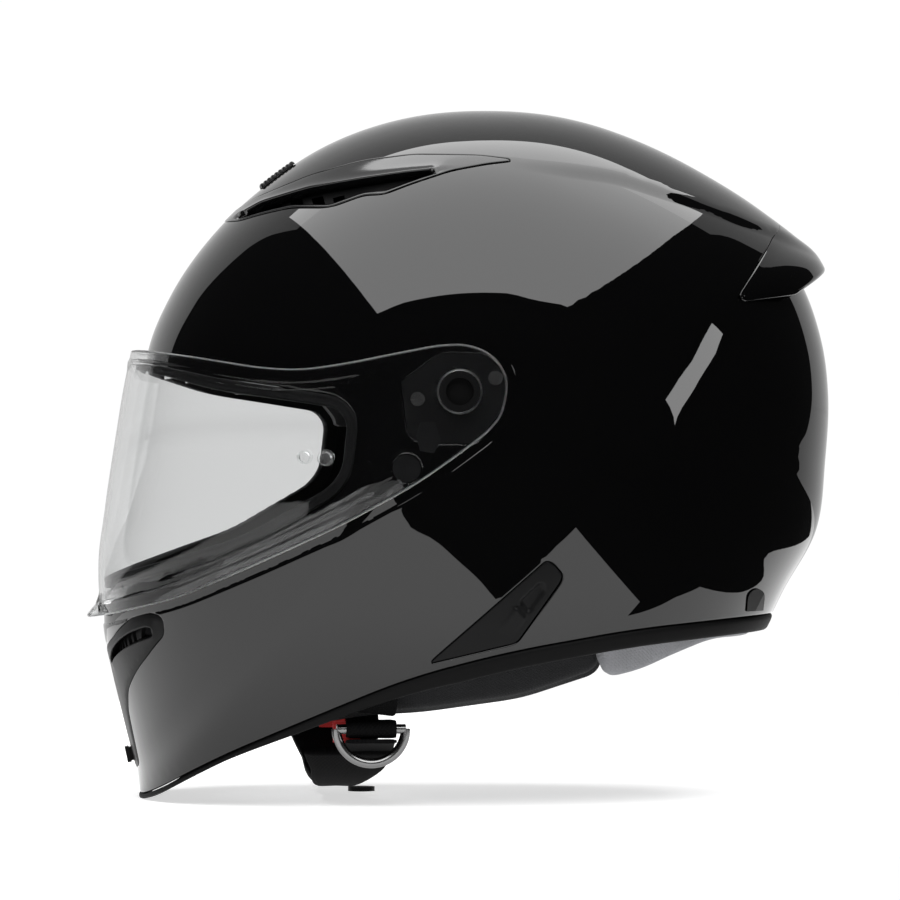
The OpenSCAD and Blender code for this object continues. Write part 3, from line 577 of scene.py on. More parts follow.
def chin_lines(dome, half, step=0.8):
    """A front-view outline's left half, laid on the dome from the middle plane to the middle plane."""
    closed_on_middle = half[0][0] == 0
    line = softened(half, 3, closed=not closed_on_middle)
    if not closed_on_middle:
        line = np.vstack([line, line[:1]])
    return front_flat(dome, spaced(line, step))


def build_shell():
    """The polished shell: the dome and its fairing, with the eye port, vents and rim cut out, recesses for
    the base plates, side inserts and rivets, and a fine step round the visor."""
    size = sizes()
    dome = shell_dome()
    port = grown(softened(EYE_PORT, 16), 5.3)
    port = np.roll(port, -np.argmin(port[:, 0]), 0)
    crescent = grown(softened(CRESCENT, 5), 0.3)
    crescent = np.roll(crescent, -np.argmax(np.hypot(*crescent.T) - dome.reach(
        np.degrees(np.arctan2(crescent[:, 1], -crescent[:, 0])))), 0)
    rim = softened(RIM_LINE, 20, closed=False)
    plate = grown(softened(PLATE_OUTLINE, 4), 0.3)
    insert = grown(softened(INSERT_OUTLINE, 3), 0.3)
    rivet = np.array(RIVET_CENTRE) + circle(6.3, 48)
    lip = grown(softened(VISOR_OUTLINE, 8), 3.6)
    lip = np.roll(lip, -np.argmin(lip[:, 0]), 0)
    chin = chin_lines(dome, CHIN_VENT_HALF)
    seam = from_across(dome, *seam_points())
    closed = {"plate": plate, "insert": insert, "rivet": rivet}
    loops = {name: closed_flat(dome, line, 0.8) for name, line in closed.items()}
    port_edge, rim_edge, lip_edge = dome.edge(port), dome.edge(rim), dome.edge(lip, 1.6)
    scoop_edge = dome.edge(crescent, 0.8)
    lines = [(middle_line(dome), []), (port_edge, EDGE_RINGS), (rim_edge, EDGE_RINGS),
             (scoop_edge, FINE_RINGS), (chin, FINE_RINGS), (spaced(seam, 1.0), [0.12, 0.4, 0.8, 1.6]),
             (lip_edge, [0.4, 0.8, 1.2, 2.0, 3.4])]
    lines += [(loop, FINE_RINGS) for loop in loops.values()]
    crease = softened(CREASE, 30, closed=False)
    lines.append((dome.edge(crease, 3), [1.5, 3.0, 4.5, 6.5]))
    under = np.vstack([rim, [(260, -400), (-260, -400)]])

    def keep(flat):
        p = dome.place(flat)
        gone = within(port, side_of(p)) | within(under, side_of(p)) | within(crescent, side_of(p))
        gone |= front_within(CHIN_VENT_HALF, p)
        return dome.holds(flat) & ~gone

    flat, tris = triangles(lines, 4.4, (-330, -330), (290, 215), keep)
    top = crowned(flat)
    normals = dome.normal(flat, crowned)
    side = side_of(dome.place(flat))
    depth = np.zeros(len(flat))
    for line, radius in ((port_edge, 1.2), (rim_edge, 1.0), (scoop_edge, 0.6), (chin, 0.6)):
        depth = np.maximum(depth, rounded_drop(distance(top, crowned(line)), radius))
    gap = distance(top, dome.place(lip_edge))
    outside = ~within(lip, side)
    step = np.clip(gap / 1.3, 0, 1)
    raised = 0.55 * step * step * (3 - 2 * step) * np.exp(-gap / 16) * outside * (side[:, 1] < 12)
    moved = top - depth[:, None] * normals + raised[:, None] * normals
    for name, floor in (("plate", None), ("insert", 1.9), ("rivet", 1.8)):
        gap = distance(top, dome.place(loops[name]))
        inside = within(closed[name], side)
        if floor is None:
            sunk = moved.copy()
            sunk[:, 0] = np.minimum(sunk[:, 0], shell_half() - 3.2)
        else:
            sunk = top - floor * normals
        rounded = moved - rounded_drop(gap, 0.5)[:, None] * normals
        moved = np.where((inside & (gap > 0.1))[:, None], sunk, rounded)
        depth = np.maximum(depth, ((gap < 1.4) | inside).astype(float))
    inner = dome.place(flat, size["shell_wall"])
    near_seam = distance(flat, seam) < 2
    touched = (depth > 0) | (raised > 0) | near_seam
    piece = solid("shell_polished", moved, inner, tris, normals, dome.normal(flat), smooth_top=touched)
    return finished(piece, "helmet", MATERIALS["shell"], "gloss_black", "outer_shell")


def closed_flat(dome, outline, step):
    """A closed side-view outline in the dome's flat coordinates, with its first point again at its end."""
    loop = spaced(outline, step, closed=True)
    return dome.flat(np.vstack([loop, loop[:1]]))


def laid(dome, outline, step=0.8):
    """A closed side-view outline in the dome's flat coordinates: a loop where it lies on the side, or an open
    line from the middle plane to the middle plane."""
    over = np.hypot(*(outline - dome.centre).T) - dome.reach(dome.angle_of(outline))
    if over.max() < 0:
        return closed_flat(dome, outline, step)
    start = int(np.argmax(over))
    return dome.edge(np.vstack([np.roll(outline, -start, 0), outline[start:start + 1]]), step)


class Patch:
    """The triangles of a cover that follows a dome inside a side-view outline, less its holes, with the
    distance from each point to the nearest edge."""

    def __init__(self, dome, outline, holes=(), spacing=3.0, rings=tuple(FINE_RINGS), step=0.8):
        self.dome = dome
        edges = [laid(dome, line, step) for line in (outline, *holes)]
        crossing = any(np.linalg.norm(line[0] - line[-1]) > 1 for line in edges)
        lines = [(line, list(rings)) for line in edges] + ([(middle_line(dome), [])] if crossing else [])

        def wanted(flat):
            side = side_of(dome.place(flat))
            inside = dome.holds(flat) & within(outline, side)
            for hole in holes:
                inside &= ~within(hole, side)
            return inside

        low, high = edges[0].min(0) - 3, edges[0].max(0) + 3
        self.flat, self.tris = triangles(lines, spacing, low, high, wanted)
        self.normals = dome.normal(self.flat)
        self.points = dome.place(self.flat)
        self.side = side_of(self.points)
        self.edges = [dome.place(line) for line in edges]
        self.gap = self.gap_to(range(len(edges)))

    def gap_to(self, which):
        """The distance from each point to the nearest of the edges named by their places in the list."""
        return np.min([distance(self.points, self.edges[i]) for i in which], axis=0)

    def at(self, out):
        """The points moved out along their normals by an amount, which may differ from point to point."""
        return self.dome.place(self.flat) + np.broadcast_to(out, len(self.flat))[:, None] * self.normals


def ridge(gap, at, width):
    """A rounded ridge 1 high at a distance from an edge."""
    return np.exp(-((gap - at) / width) ** 2)


def smooth(value):
    """0 to 1 with no kinks."""
    s = np.clip(value, 0, 1)
    return s * s * (3 - 2 * s)


def squared(wave, power):
    """A sine or cosine with its flanks steepened, so that a circle becomes a rounded square."""
    return np.sign(wave) * np.abs(wave) ** power


def circle(radius, count):
    """Points round a circle."""
    turn = np.linspace(0, 2 * math.pi, count, endpoint=False)
    return radius * np.stack([np.cos(turn), np.sin(turn)], -1)


def grid_tris(rows, columns):
    """The triangles over a grid of points that is stored row by row."""
    i, j = np.meshgrid(np.arange(rows - 1), np.arange(columns - 1), indexing="ij")
    a = (i * columns + j).ravel()
    b = a + columns + 1
    return np.vstack([np.stack([a, a + columns, b], -1), np.stack([a, b, a + 1], -1)])


def visor_dome():
    """The visor's outer skin, cut flat at the sides where it turns on its hubs."""
    size = sizes()
    outer = shell_half() + size["visor_gap"] + size["visor_wall"]
    return Dome(VISOR_PROFILE, outer, cap=outer - 0.3)


def build_visor():
    """The clear visor: two skins one wall apart with rounded edges, a pair of moulded beads inside its edges,
    a lift tab that flares out of its lower edge, and a bore for each hub."""
    size = sizes()
    wall = size["visor_wall"]
    dome = visor_dome()
    outline = softened(VISOR_OUTLINE, 9)
    bore = circle(size["hub_radius"] + 0.05, 72)
    rings = (0.12, 0.3, 0.55, 0.85, 1.4, 2.4, 4.2, 4.9, 5.5, 6.1, 6.8, 7.6, 8.3, 8.9, 9.6)
    patch = Patch(dome, outline, [bore], spacing=3.4, rings=rings)
    rim = patch.gap_to([0])
    front = smooth((-25 - patch.side[:, 0]) / 25)
    raised = 0.45 * front * (ridge(rim, 5.5, 0.55) + ridge(rim, 8.6, 0.5))
    low = patch.side[:, 1] < -60
    tab = smooth(1 - (rim - 0.2) / 7.5) * smooth((TAB_HALF - np.abs(patch.points[:, 0])) / 5 + 0.5)
    tab = 6.5 * tab * low
    round_off = rounded_drop(patch.gap, 0.42 * wall)
    top = patch.at(raised + tab - round_off)
    inner = Dome(VISOR_PROFILE, dome.half, cap=dome.cap)
    under = inner.place(patch.flat, wall) + (tab + round_off)[:, None] * patch.normals
    touched = (patch.gap < 1.2) | (raised > 0.002) | (tab > 0)
    edge = smooth(1.3 - patch.gap / 1.2)
    piece = solid("visor_shield", top, under, patch.tris, patch.normals, smooth_top=touched,
                  smooth_under=touched, edge=edge)
    return finished(piece, "visor", MATERIALS["visor"], "clear_visor", "visor")


def build_gasket():
    """The eye port's rubber seal: a flat-topped ring with rounded lips and a groove between them."""
    size = sizes()
    dome = visor_dome()
    depth = size["visor_wall"] + 0.7
    outline, hole = grown(softened(EYE_PORT, 16), 5), softened(EYE_PORT, 9)
    patch = Patch(dome, outline, [hole], spacing=1.6, rings=(0.25, 0.6, 1.1, 1.8, 2.5))
    groove = 0.9 * ridge(patch.gap_to([0]), 2.5, 0.7)
    top = dome.place(patch.flat, depth) - (groove + rounded_drop(patch.gap, 1.1))[:, None] * patch.normals
    under = dome.place(patch.flat, depth) - 9.5 * patch.normals
    piece = solid("eye_port_seal", top, under, patch.tris)
    return finished(piece, "helmet", MATERIALS["rubber"], "rubber_black", "eye_port_gasket")


def swept(name, path, out, across, section):
    """A closed section carried along half a loop and mirrored round the other half. section is (along out,
    along across) for each point of the path."""
    rings = path[:, None] + section[..., :1] * out[:, None] + section[..., 1:] * across[:, None]
    rings[0, :, 0] = rings[-1, :, 0] = 0
    rings = np.concatenate([rings, rings[-2:0:-1] * [-1, 1, 1]])
    points, faces = tube_grid(rings, closed_path=True)
    return mesh_piece(name, points, faces)


def build_trim():
    """The rubber bead on the rim: a squared oval section, 3 mm deep at the chin and 8 mm at the back."""
    size = sizes()
    dome = shell_dome()
    rim = softened(RIM_LINE, 20, closed=False)
    flat = dome.edge(rim, 1.5)
    path = dome.place(flat)
    out = dome.normal(flat)
    along = np.gradient(path, axis=0)
    along /= np.linalg.norm(along, axis=1)[:, None]
    down = np.cross(along, out)
    down *= np.sign(-down[:, 2:3])
    high = 2.2 + 5.8 * np.clip((path[:, 1] + 100) / 100, 0, 1)
    turn = np.linspace(0, 2 * math.pi, 28, endpoint=False)
    thick = 0.5 * (size["shell_wall"] + 1.4 + size["trim_rise"])
    u = size["trim_rise"] - thick + thick * squared(np.cos(turn), 0.55)[None] * np.ones((len(path), 1))
    v = 0.25 + 0.5 * high[:, None] * (1 + squared(np.sin(turn), 0.55)[None])
    piece = swept("rim_bead", path, out, down, np.stack([u, v], -1))
    fix_normals(piece)
    return finished(piece, "helmet", MATERIALS["rubber"], "rubber_black", "bottom_trim")


def fix_normals(piece):
    """Turns every face of a closed piece outwards."""
    work = bmesh.new()
    work.from_mesh(piece.data)
    bmesh.ops.remove_doubles(work, verts=work.verts, dist=1e-7)
    bmesh.ops.recalc_face_normals(work, faces=work.faces)
    work.to_mesh(piece.data)
    work.free()
    piece.data.polygons.foreach_set("use_smooth", np.ones(len(piece.data.polygons), bool))
    piece.data.update()


def build_covers():
    """The moulded covers outside the shell: the forehead blade with its scoop, and the side inserts."""
    dome = shell_dome()
    mouth = softened(VENT_MOUTH, 2)
    patch = Patch(dome, softened(CRESCENT, 3), [mouth], spacing=1.8, rings=(0.12, 0.3, 0.55, 0.9, 1.5, 2.4))
    lip = patch.gap_to([1])
    centre = np.array([(-96, 78), (-82, 82), (-60, 86), (-39, 90.5), (-20, 94), (-8, 96.6), (26, 101.6)])
    above = patch.side[:, 1] > np.interp(patch.side[:, 0], centre[:, 0], centre[:, 1])
    raised = np.where(above, 1.5 * np.exp(-lip / 3.2), -0.9 * np.exp(-lip / 2.0))
    raised *= smooth(patch.gap_to([0]) / 2)
    drop = np.maximum(rounded_drop(patch.gap_to([0]), 0.5), rounded_drop(lip, 0.9))
    top = patch.at(0.35 + raised - drop)
    piece = solid("forehead_scoop", top, dome.place(patch.flat, sizes()["shell_wall"] - 0.2), patch.tris)
    finished(piece, "helmet", MATERIALS["gloss plastic"], "satin_black", "forehead_vent_cover")

    ramp, slot = softened(INSERT_RAMP, 1.5), softened(INSERT_SLOT, 3)
    patch = Patch(dome, softened(INSERT_OUTLINE, 2.5), spacing=0.9)
    sunk, lift = within(slot, patch.side), within(ramp, patch.side)
    slot_gap, ramp_gap = (distance(patch.points, dome.place(laid(dome, line))) for line in (slot, ramp))
    (y0, z0), (y1, z1) = INSERT_RAMP[2], INSERT_RAMP[0]
    up = np.clip(((patch.side[:, 0] - y0) * (y1 - y0) + (patch.side[:, 1] - z0) * (z1 - z0))
                 / ((y1 - y0) ** 2 + (z1 - z0) ** 2), 0, 1)
    raised = 1.5 * smooth(ramp_gap / 0.8) * up * lift - 1.4 * smooth(slot_gap / 0.8) * sunk
    top = patch.at(-0.15 + raised - rounded_drop(patch.gap, 0.6))
    piece = solid("side_insert_pair", top, patch.at(-1.7), patch.tris)
    return finished(piece, "helmet", MATERIALS["plastic"], "satin_black", "side_insert_left",
                    "side_insert_right")


def front_within(half, points):
    """Whether points lie in a mirrored front-view outline, on the front of the helmet."""
    whole = softened(half + [(-x, z) for x, z in half[::-1] if x > 0], 3)
    return within(whole, points[:, [0, 2]]) & (points[:, 1] < -60)


def build_chin_frame():
    """The chin vent's frame: a shield-shaped cover on the front with a mouth on each side."""
    dome = shell_dome()
    border = chin_lines(dome, CHIN_VENT_HALF)
    mouth_loop = softened(CHIN_MOUTH_HALF, 3)
    mouth = front_flat(dome, spaced(mouth_loop, 0.8, closed=True))
    mouth = np.vstack([mouth, mouth[:1]])
    rings = [0.12, 0.3, 0.55, 0.9, 1.5, 2.4]

    def keep(flat):
        p = dome.place(flat)
        mouths = within(mouth_loop, np.abs(p[:, [0, 2]]) * [1, -1])
        return dome.holds(flat) & front_within(CHIN_VENT_HALF, p) & ~mouths

    low, high = border.min(0) - 3, border.max(0) + 3
    flat, tris = triangles([(middle_line(dome), []), (border, rings), (mouth, rings)], 2.2, low, high, keep)
    normals = dome.normal(flat)
    points = dome.place(flat)
    rim, lip = distance(points, dome.place(border)), distance(points, dome.place(mouth))
    raised = 0.5 * smooth(rim / 2.5) + 1.0 * np.exp(-lip / 2.6)
    drop = np.maximum(rounded_drop(rim, 0.5), rounded_drop(lip, 0.9))
    top = points + (raised - drop)[:, None] * normals
    piece = solid("chin_vent_shield", top, dome.place(flat, sizes()["shell_wall"] - 0.2), tris)
    return finished(piece, "helmet", MATERIALS["plastic"], "satin_black", "chin_vent_frame")


def build_spoiler():
    """The rear spoiler: it carries the crown fairing on behind the seam, stands clear of the shell beneath it
    and ends in a rounded tail."""
    dome = Dome(FAIRING_PROFILE, 0.93 * shell_half())
    patch = Patch(dome, softened(SPOILER_OUTLINE, 2), spacing=2.6, rings=(0.15, 0.4, 0.8, 1.4, 2.2, 3.2))
    lower = before_seam(patch.side) < -3.2
    drop = np.where(lower, rounded_drop(patch.gap, 2.6), rounded_drop(patch.gap, 0.35))
    angle = np.degrees(np.arctan2(patch.side[:, 1], -patch.side[:, 0]))
    scale = crown_reach(angle, patch.points[:, 0]) / np.hypot(*patch.side.T)
    top = patch.points * np.stack([np.ones_like(scale), scale, scale], -1) - drop[:, None] * patch.normals
    shell = shell_dome()
    reach = shell.reach(shell.angle_of(patch.side))
    sine = np.minimum(np.hypot(*patch.side.T) / reach, 1) ** (ROUND_PLAN / 2)
    skin = (shell.half + 0.3) * np.maximum(1 - sine ** 2, 0) ** (1 / ROUND_SIDE)
    under = patch.points.copy()
    under[:, 0] = np.where(sine >= 1, 0, np.minimum(skin, 0.98 * patch.points[:, 0]))
    under[:, 1:] = np.where((patch.points[:, 0] > 1)[:, None], top[:, 1:], under[:, 1:])
    piece = solid("tail_spoiler", top, under, patch.tris)
    return finished(piece, "helmet", MATERIALS["shell"], "gloss_black", "rear_spoiler")


def build_slider():
    """The crown vent's slider: a low pad that follows the shell, with nine rounded teeth across it."""
    dome = shell_dome()
    low, high = (np.array(corner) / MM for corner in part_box("forehead_vent_slider"))
    half, along = high[0], 0.5 * math.hypot(high[1] - low[1], high[2] - low[2]) - 1
    run, x = np.meshgrid(np.linspace(-along, along, 145), np.linspace(0, half, 24), indexing="ij")
    run, x = run.ravel(), x.ravel()
    flat = from_across(dome, SLIDER_TURN + np.degrees(run / dome.reach(SLIDER_TURN)), x)
    gap = np.minimum(along - np.abs(run), half - x)
    teeth = np.abs(np.sin(math.pi * 9 * (run + along) / (2 * along))) ** 0.6 * smooth((half - x) / 2)
    normals = dome.normal(flat)
    surface = dome.place(flat)
    top = surface + (1.0 + 1.0 * teeth - rounded_drop(gap, 0.5))[:, None] * normals
    under = surface + 0.35 * normals
    top[x < 1e-9, 0] = under[x < 1e-9, 0] = 0
    piece = solid("crown_slider", top, under, grid_tris(145, 24))
    fix_normals(piece)
    return finished(piece, "forehead_vent", MATERIALS["plastic"], "satin_black", "forehead_vent_slider")


def head_dome(grow):
    """The head space: an ellipse in side view round its own centre."""

    def oval(angle):
        a = np.radians(angle)
        return 1 / np.sqrt((np.cos(a) / (99 + grow)) ** 2 + (np.sin(a) / (92 + grow)) ** 2)

    return Dome(oval, 78.5 + grow, centre=(12, -6))


def build_liner():
    """The comfort liner: a quilted layer over the head space, with sewn channels between its panels."""
    dome = head_dome(7)
    outline = np.vstack([softened(LINER_LINE, 20, closed=False), [(160, 300), (-160, 300)]])
    patch = Patch(dome, outline, spacing=4.0, rings=(0.4, 1.0, 1.8, 3.0))
    x, y = np.abs(patch.points[:, 0]), patch.points[:, 1]
    seams = np.minimum(np.abs(x - 24), np.abs(x - 58 - 0.002 * (y - 20) ** 2))
    seams = np.minimum(seams, np.abs(y + 52))
    channel = 2.2 * np.exp(-(seams / 2.6) ** 2)
    inner = patch.at(-6.8 + channel + rounded_drop(patch.gap, 3.0))
    piece = solid("comfort_layer", patch.at(-0.2 - rounded_drop(patch.gap, 2.5)), inner, patch.tris)
    finished(piece, "helmet", MATERIALS["lining"], "liner_fabric", "comfort_liner")
    return piece


def build_pads():
    """The cheek pads and the neck roll: stuffed forms with round edges and sewn seams."""
    dome = shell_dome(13.0)
    patch = Patch(dome, softened(CHEEK_OUTLINE, 9), spacing=3.6, rings=(0.6, 1.4, 2.6, 4.2, 6.2, 8.6))
    edge = np.clip(1 - patch.gap / 10, 0, 1)
    inner = patch.points.copy()
    inner[:, 0] = 61 + 10 * (1 - np.sqrt(1 - edge ** 2)) + 1.2 * ridge(patch.gap, 14, 1.6)
    inner[:, 0] = np.minimum(inner[:, 0], patch.points[:, 0] - 3)
    outer = patch.at(-0.4 - rounded_drop(patch.gap, 5.0))
    for side, flip in (("left", 1), ("right", -1)):
        turn = np.array([flip, 1, 1])
        tris = patch.tris if flip > 0 else patch.tris[:, ::-1]
        piece = solid("cheek_cushion_" + side, outer * turn, inner * turn, tris, mirror=False)
        finished(piece, "helmet", MATERIALS["lining"], "liner_fabric", "cheek_pad_" + side)

    dome = shell_dome()
    patch = Patch(dome, softened(ROLL_OUTLINE, 8), spacing=3.4, rings=(0.6, 1.4, 2.6, 4.2))
    top = dome.place(patch.flat, 5.0) - rounded_drop(patch.gap, 5.0)[:, None] * patch.normals
    under = dome.place(patch.flat, 28.6) + rounded_drop(patch.gap, 9.0)[:, None] * patch.normals
    piece = solid("neck_cushion", top, under, patch.tris)
    finished(piece, "helmet", MATERIALS["collar"], "collar_fabric", "neck_roll")

    dome = shell_dome(29.7)
    x, z = np.meshgrid(np.linspace(0, 35, 22), np.linspace(0, 1, 14), indexing="ij")
    z = -113 + z * (30 + 6 * smooth(np.abs(x) / 30))
    flat = front_flat(dome, np.stack([x.ravel(), z.ravel()], -1))
    front = dome.place(flat)
    front[np.abs(x.ravel()) < 1e-9, 0] = 0
    back = front - 1.5 * dome.normal(flat) * [0, 1, 1]
    piece = solid("breath_guard", front, back, grid_tris(22, 14))
    fix_normals(piece)
    return finished(piece, "helmet", MATERIALS["rubber"], "liner_fabric", "breath_deflector")


def band(name, path, wide, thick, centre_y):
    """A flat strap along a front-view path, wide along Y, with round edges and a map that runs along it.
    wide and centre_y may be functions of the height."""
    path = spaced(np.asarray(path, float), 1.6)
    wide, centre_y = (np.broadcast_to(value(path[:, 1]) if callable(value) else value, len(path))[:, None]
                      for value in (wide, centre_y))
    along = np.gradient(path, axis=0)
    along /= np.linalg.norm(along, axis=1)[:, None]
    side = np.stack([along[:, 1], -along[:, 0]], -1)
    turn = np.linspace(0, 2 * math.pi, 32, endpoint=False)
    y = 0.5 * wide * squared(np.cos(turn), 0.25)[None]
    t = 0.5 * thick * squared(np.sin(turn), 0.5) * (1 - 0.12 * np.cos(4 * turn) ** 8)
    rings = np.zeros((len(path), len(turn), 3))
    rings[..., 0] = path[:, None, 0] + t * side[:, None, 0]
    rings[..., 1] = centre_y + y
    rings[..., 2] = path[:, None, 1] + t * side[:, None, 1]
    points, faces = tube_grid(rings)
    run = np.concatenate([[0], np.cumsum(np.linalg.norm(np.diff(path, axis=0), axis=1))])
    uv = np.stack([np.repeat(run, len(turn)), y.ravel()], -1) * MM
    piece = mesh_piece(name, points, faces, uv=uv)
    fix_normals(piece)
    return piece


def build_straps():
    """The chin strap: webbing fixed inside both sides, a padded sleeve that hangs in a loop, the tail, and a
    short loop that holds the two D-rings."""
    size = sizes()
    dome = shell_dome(5.8)
    web = Patch(dome, softened(STRAP_WEB, 2), spacing=3.0, rings=(0.2, 0.5, 1.0, 1.8))
    inside = dome.place(web.flat) - (size["webbing_wall"] - 0.05) * web.normals
    round_off = rounded_drop(web.gap, 0.7)[:, None] * web.normals
    pair = solid("strap_web_pair", web.points - round_off, inside + round_off, web.tris, uv=web.side * MM)
    finished(pair, "helmet", MATERIALS["webbing"], "webbing", "strap_web_left", "strap_web_right")
    fold = np.array([-36.0, -140.0])
    ring_low, ring_high = (np.array(c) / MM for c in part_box("d_ring_outer"))
    inner_low, inner_high = (np.array(c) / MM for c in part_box("d_ring_inner"))
    wire = ring_high[0] - ring_low[0]
    long_low, long_high = (np.array(c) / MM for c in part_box("chin_strap_long"))
    low = long_low[2] + 2
    fold_x = ring_high[0] - 0.5 * wire + 0.5
    ring_z = fold[1] - 4.5 - wire / 2
    tail_z = ring_z - wire / 2 - 1.5 * size["webbing_wall"] - 0.6
    start = np.array([fold_x - 26, tail_z - 5])
    u = np.linspace(1, 0, 30)
    first = np.stack([-fold_x * u, low + (fold[1] - 3.2 - low) * u ** 2.7], -1)
    v = np.linspace(0, 1, 20)[1:]
    second = np.stack([start[0] * v, low + (start[1] - low) * v ** 2.2], -1)
    full = long_high[1] - long_low[1]
    sleeve = band("chin_sleeve", np.vstack([first, second]),
                  lambda z: 16 + (full - 5) * np.clip((z - low) / 18, 0, 1) ** 0.6, 3.9,
                  lambda z: fold[0] - 12 + 3.5 * smooth((z - low) / 10))
    finished(sleeve, "helmet", MATERIALS["webbing"], "webbing", "chin_strap_long")
    w = np.linspace(0, 1, 24)
    tail_path = np.stack([start[0] + 0.9 + 29 * w, start[1] + 0.5 + 5 * (1 - (1 - w) ** 2)], -1)
    tail = band("strap_end", tail_path, 21.8, size["webbing_wall"] - 0.1, fold[0])
    finished(tail, "helmet", MATERIALS["webbing"], "webbing", "strap_tail")
    centre = 0.5 * (ring_low[0] + ring_high[0]), 0.5 * (inner_low[0] + inner_high[0])
    radius = wire / 2 + 0.1 + 0.5 * size["webbing_wall"]
    turn = np.linspace(-math.pi / 2, math.pi / 2, 24)
    outer_arc = np.stack([max(centre) + radius * np.cos(turn), ring_z + radius * np.sin(turn)], -1)
    inner_arc = np.stack([min(centre) - radius * np.cos(turn), ring_z - radius * np.sin(turn)], -1)
    loop = np.vstack([outer_arc, inner_arc, outer_arc[:1]])
    short = band("ring_loop", loop, 21.8, size["webbing_wall"] - 0.1, fold[0])
    return finished(short, "helmet", MATERIALS["webbing"], "webbing", "chin_strap_short")


def dress_nodes():
    """Every CAD piece that stays gets its finish."""
    finishes = {
        "plastic": ["forehead_vent_shutter", "chin_vent_slider", "chin_vent_shutter",
                    "rear_port_left", "rear_port_right", "release_lever_left", "release_lever_right",
                    "cheek_plate_left", "cheek_plate_right", "strap_snap", "strap_rivet_left",
                    "strap_rivet_right"],
        "grille": ["forehead_vent_grille", "chin_vent_grille", "base_plate_left", "base_plate_right"],
        "foam": ["crown_foam", "chin_foam", "cheek_foam_left", "cheek_foam_right"],
        "steel": ["base_plate_screws", "anchor_plate_left", "anchor_plate_right", "d_ring_outer",
                  "d_ring_inner", "cheek_plate_snaps"],
        "visor": ["lens_pin_left", "lens_pin_right"],
        "pull": ["pull_tab_left", "pull_tab_right"],
    }
    for name, nodes in finishes.items():
        for node in nodes:
            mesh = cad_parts[node].data
            mesh.materials.clear()
            mesh.materials.append(MATERIALS[name])


# ---- Materials ----

MATERIALS = {}


def group_of(name, inputs, outputs, wire):
    """A shader node group with named value inputs and outputs; wire() fills it."""
    group = bpy.data.node_groups.new(name, "ShaderNodeTree")
    for label, value in inputs.items():
        socket = group.interface.new_socket(name=label, in_out="INPUT", socket_type="NodeSocketFloat")
        socket.default_value = value
    for label in outputs:
        group.interface.new_socket(name=label, in_out="OUTPUT", socket_type="NodeSocketFloat")
    enter, leave = group.nodes.new("NodeGroupInput"), group.nodes.new("NodeGroupOutput")
    wire(group, enter, leave)
    return group


def add(tree, kind, **settings):
    """A node with its settings. i0, i1 and so on are values for its input sockets, counted from 0."""
    node = tree.nodes.new(kind)
    for key, value in settings.items():
        if key[0] == "i" and key[1:].isdigit():
            node.inputs[int(key[1:])].default_value = value
        else:
            setattr(node, key, value)
    return node


def join(tree, source, target):
    """Links an output socket to an input socket."""
    tree.links.new(source, target)


def moulded_grain(group, enter, leave):
    """Fine moulded grain: a cell pattern for the height, and slow noise for the sheen's variation."""
    place = add(group, "ShaderNodeTexCoord")
    cells = add(group, "ShaderNodeTexVoronoi", feature="SMOOTH_F1")
    cloud = add(group, "ShaderNodeTexNoise")
    cloud.inputs["Detail"].default_value = 4
    slow = add(group, "ShaderNodeMath", operation="MULTIPLY", i1=0.02)
    spread = add(group, "ShaderNodeMath", operation="MULTIPLY_ADD")
    join(group, place.outputs["Object"], cells.inputs["Vector"])
    join(group, place.outputs["Object"], cloud.inputs["Vector"])
    join(group, enter.outputs["Scale"], cells.inputs["Scale"])
    join(group, enter.outputs["Scale"], slow.inputs[0])
    join(group, slow.outputs[0], cloud.inputs["Scale"])
    join(group, cloud.outputs["Fac"], spread.inputs[0])
    join(group, enter.outputs["Spread"], spread.inputs[1])
    join(group, enter.outputs["Roughness"], spread.inputs[2])
    join(group, cells.outputs["Distance"], leave.inputs["Height"])
    join(group, spread.outputs[0], leave.inputs["Roughness"])
    join(group, cloud.outputs["Fac"], leave.inputs["Mottle"])


def knit_loops(group, enter, leave):
    """Looped knit: wave patterns crossed at an angle, broken up by noise, on the object's own coordinates."""
    place = add(group, "ShaderNodeTexCoord")
    turned = add(group, "ShaderNodeMapping")
    turned.inputs["Rotation"].default_value = (0.5, 0.35, 0.6)
    join(group, place.outputs["Object"], turned.inputs["Vector"])
    heights = []
    for direction in ("X", "Y", "Z"):
        wave = add(group, "ShaderNodeTexWave", wave_type="BANDS", bands_direction=direction)
        wave.inputs["Distortion"].default_value = 1.2
        wave.inputs["Detail"].default_value = 1
        join(group, turned.outputs["Vector"], wave.inputs["Vector"])
        join(group, enter.outputs["Scale"], wave.inputs["Scale"])
        heights.append(wave.outputs["Fac"])
    once = add(group, "ShaderNodeMath", operation="MULTIPLY")
    twice = add(group, "ShaderNodeMath", operation="MAXIMUM")
    join(group, heights[0], once.inputs[0])
    join(group, heights[1], once.inputs[1])
    join(group, once.outputs[0], twice.inputs[0])
    third = add(group, "ShaderNodeMath", operation="MULTIPLY", i1=0.55)
    join(group, heights[2], third.inputs[0])
    join(group, third.outputs[0], twice.inputs[1])
    cloud = add(group, "ShaderNodeTexNoise")
    cloud.inputs["Scale"].default_value = 60
    cloud.inputs["Detail"].default_value = 6
    join(group, place.outputs["Object"], cloud.inputs["Vector"])
    join(group, twice.outputs[0], leave.inputs["Height"])
    join(group, cloud.outputs["Fac"], leave.inputs["Mottle"])


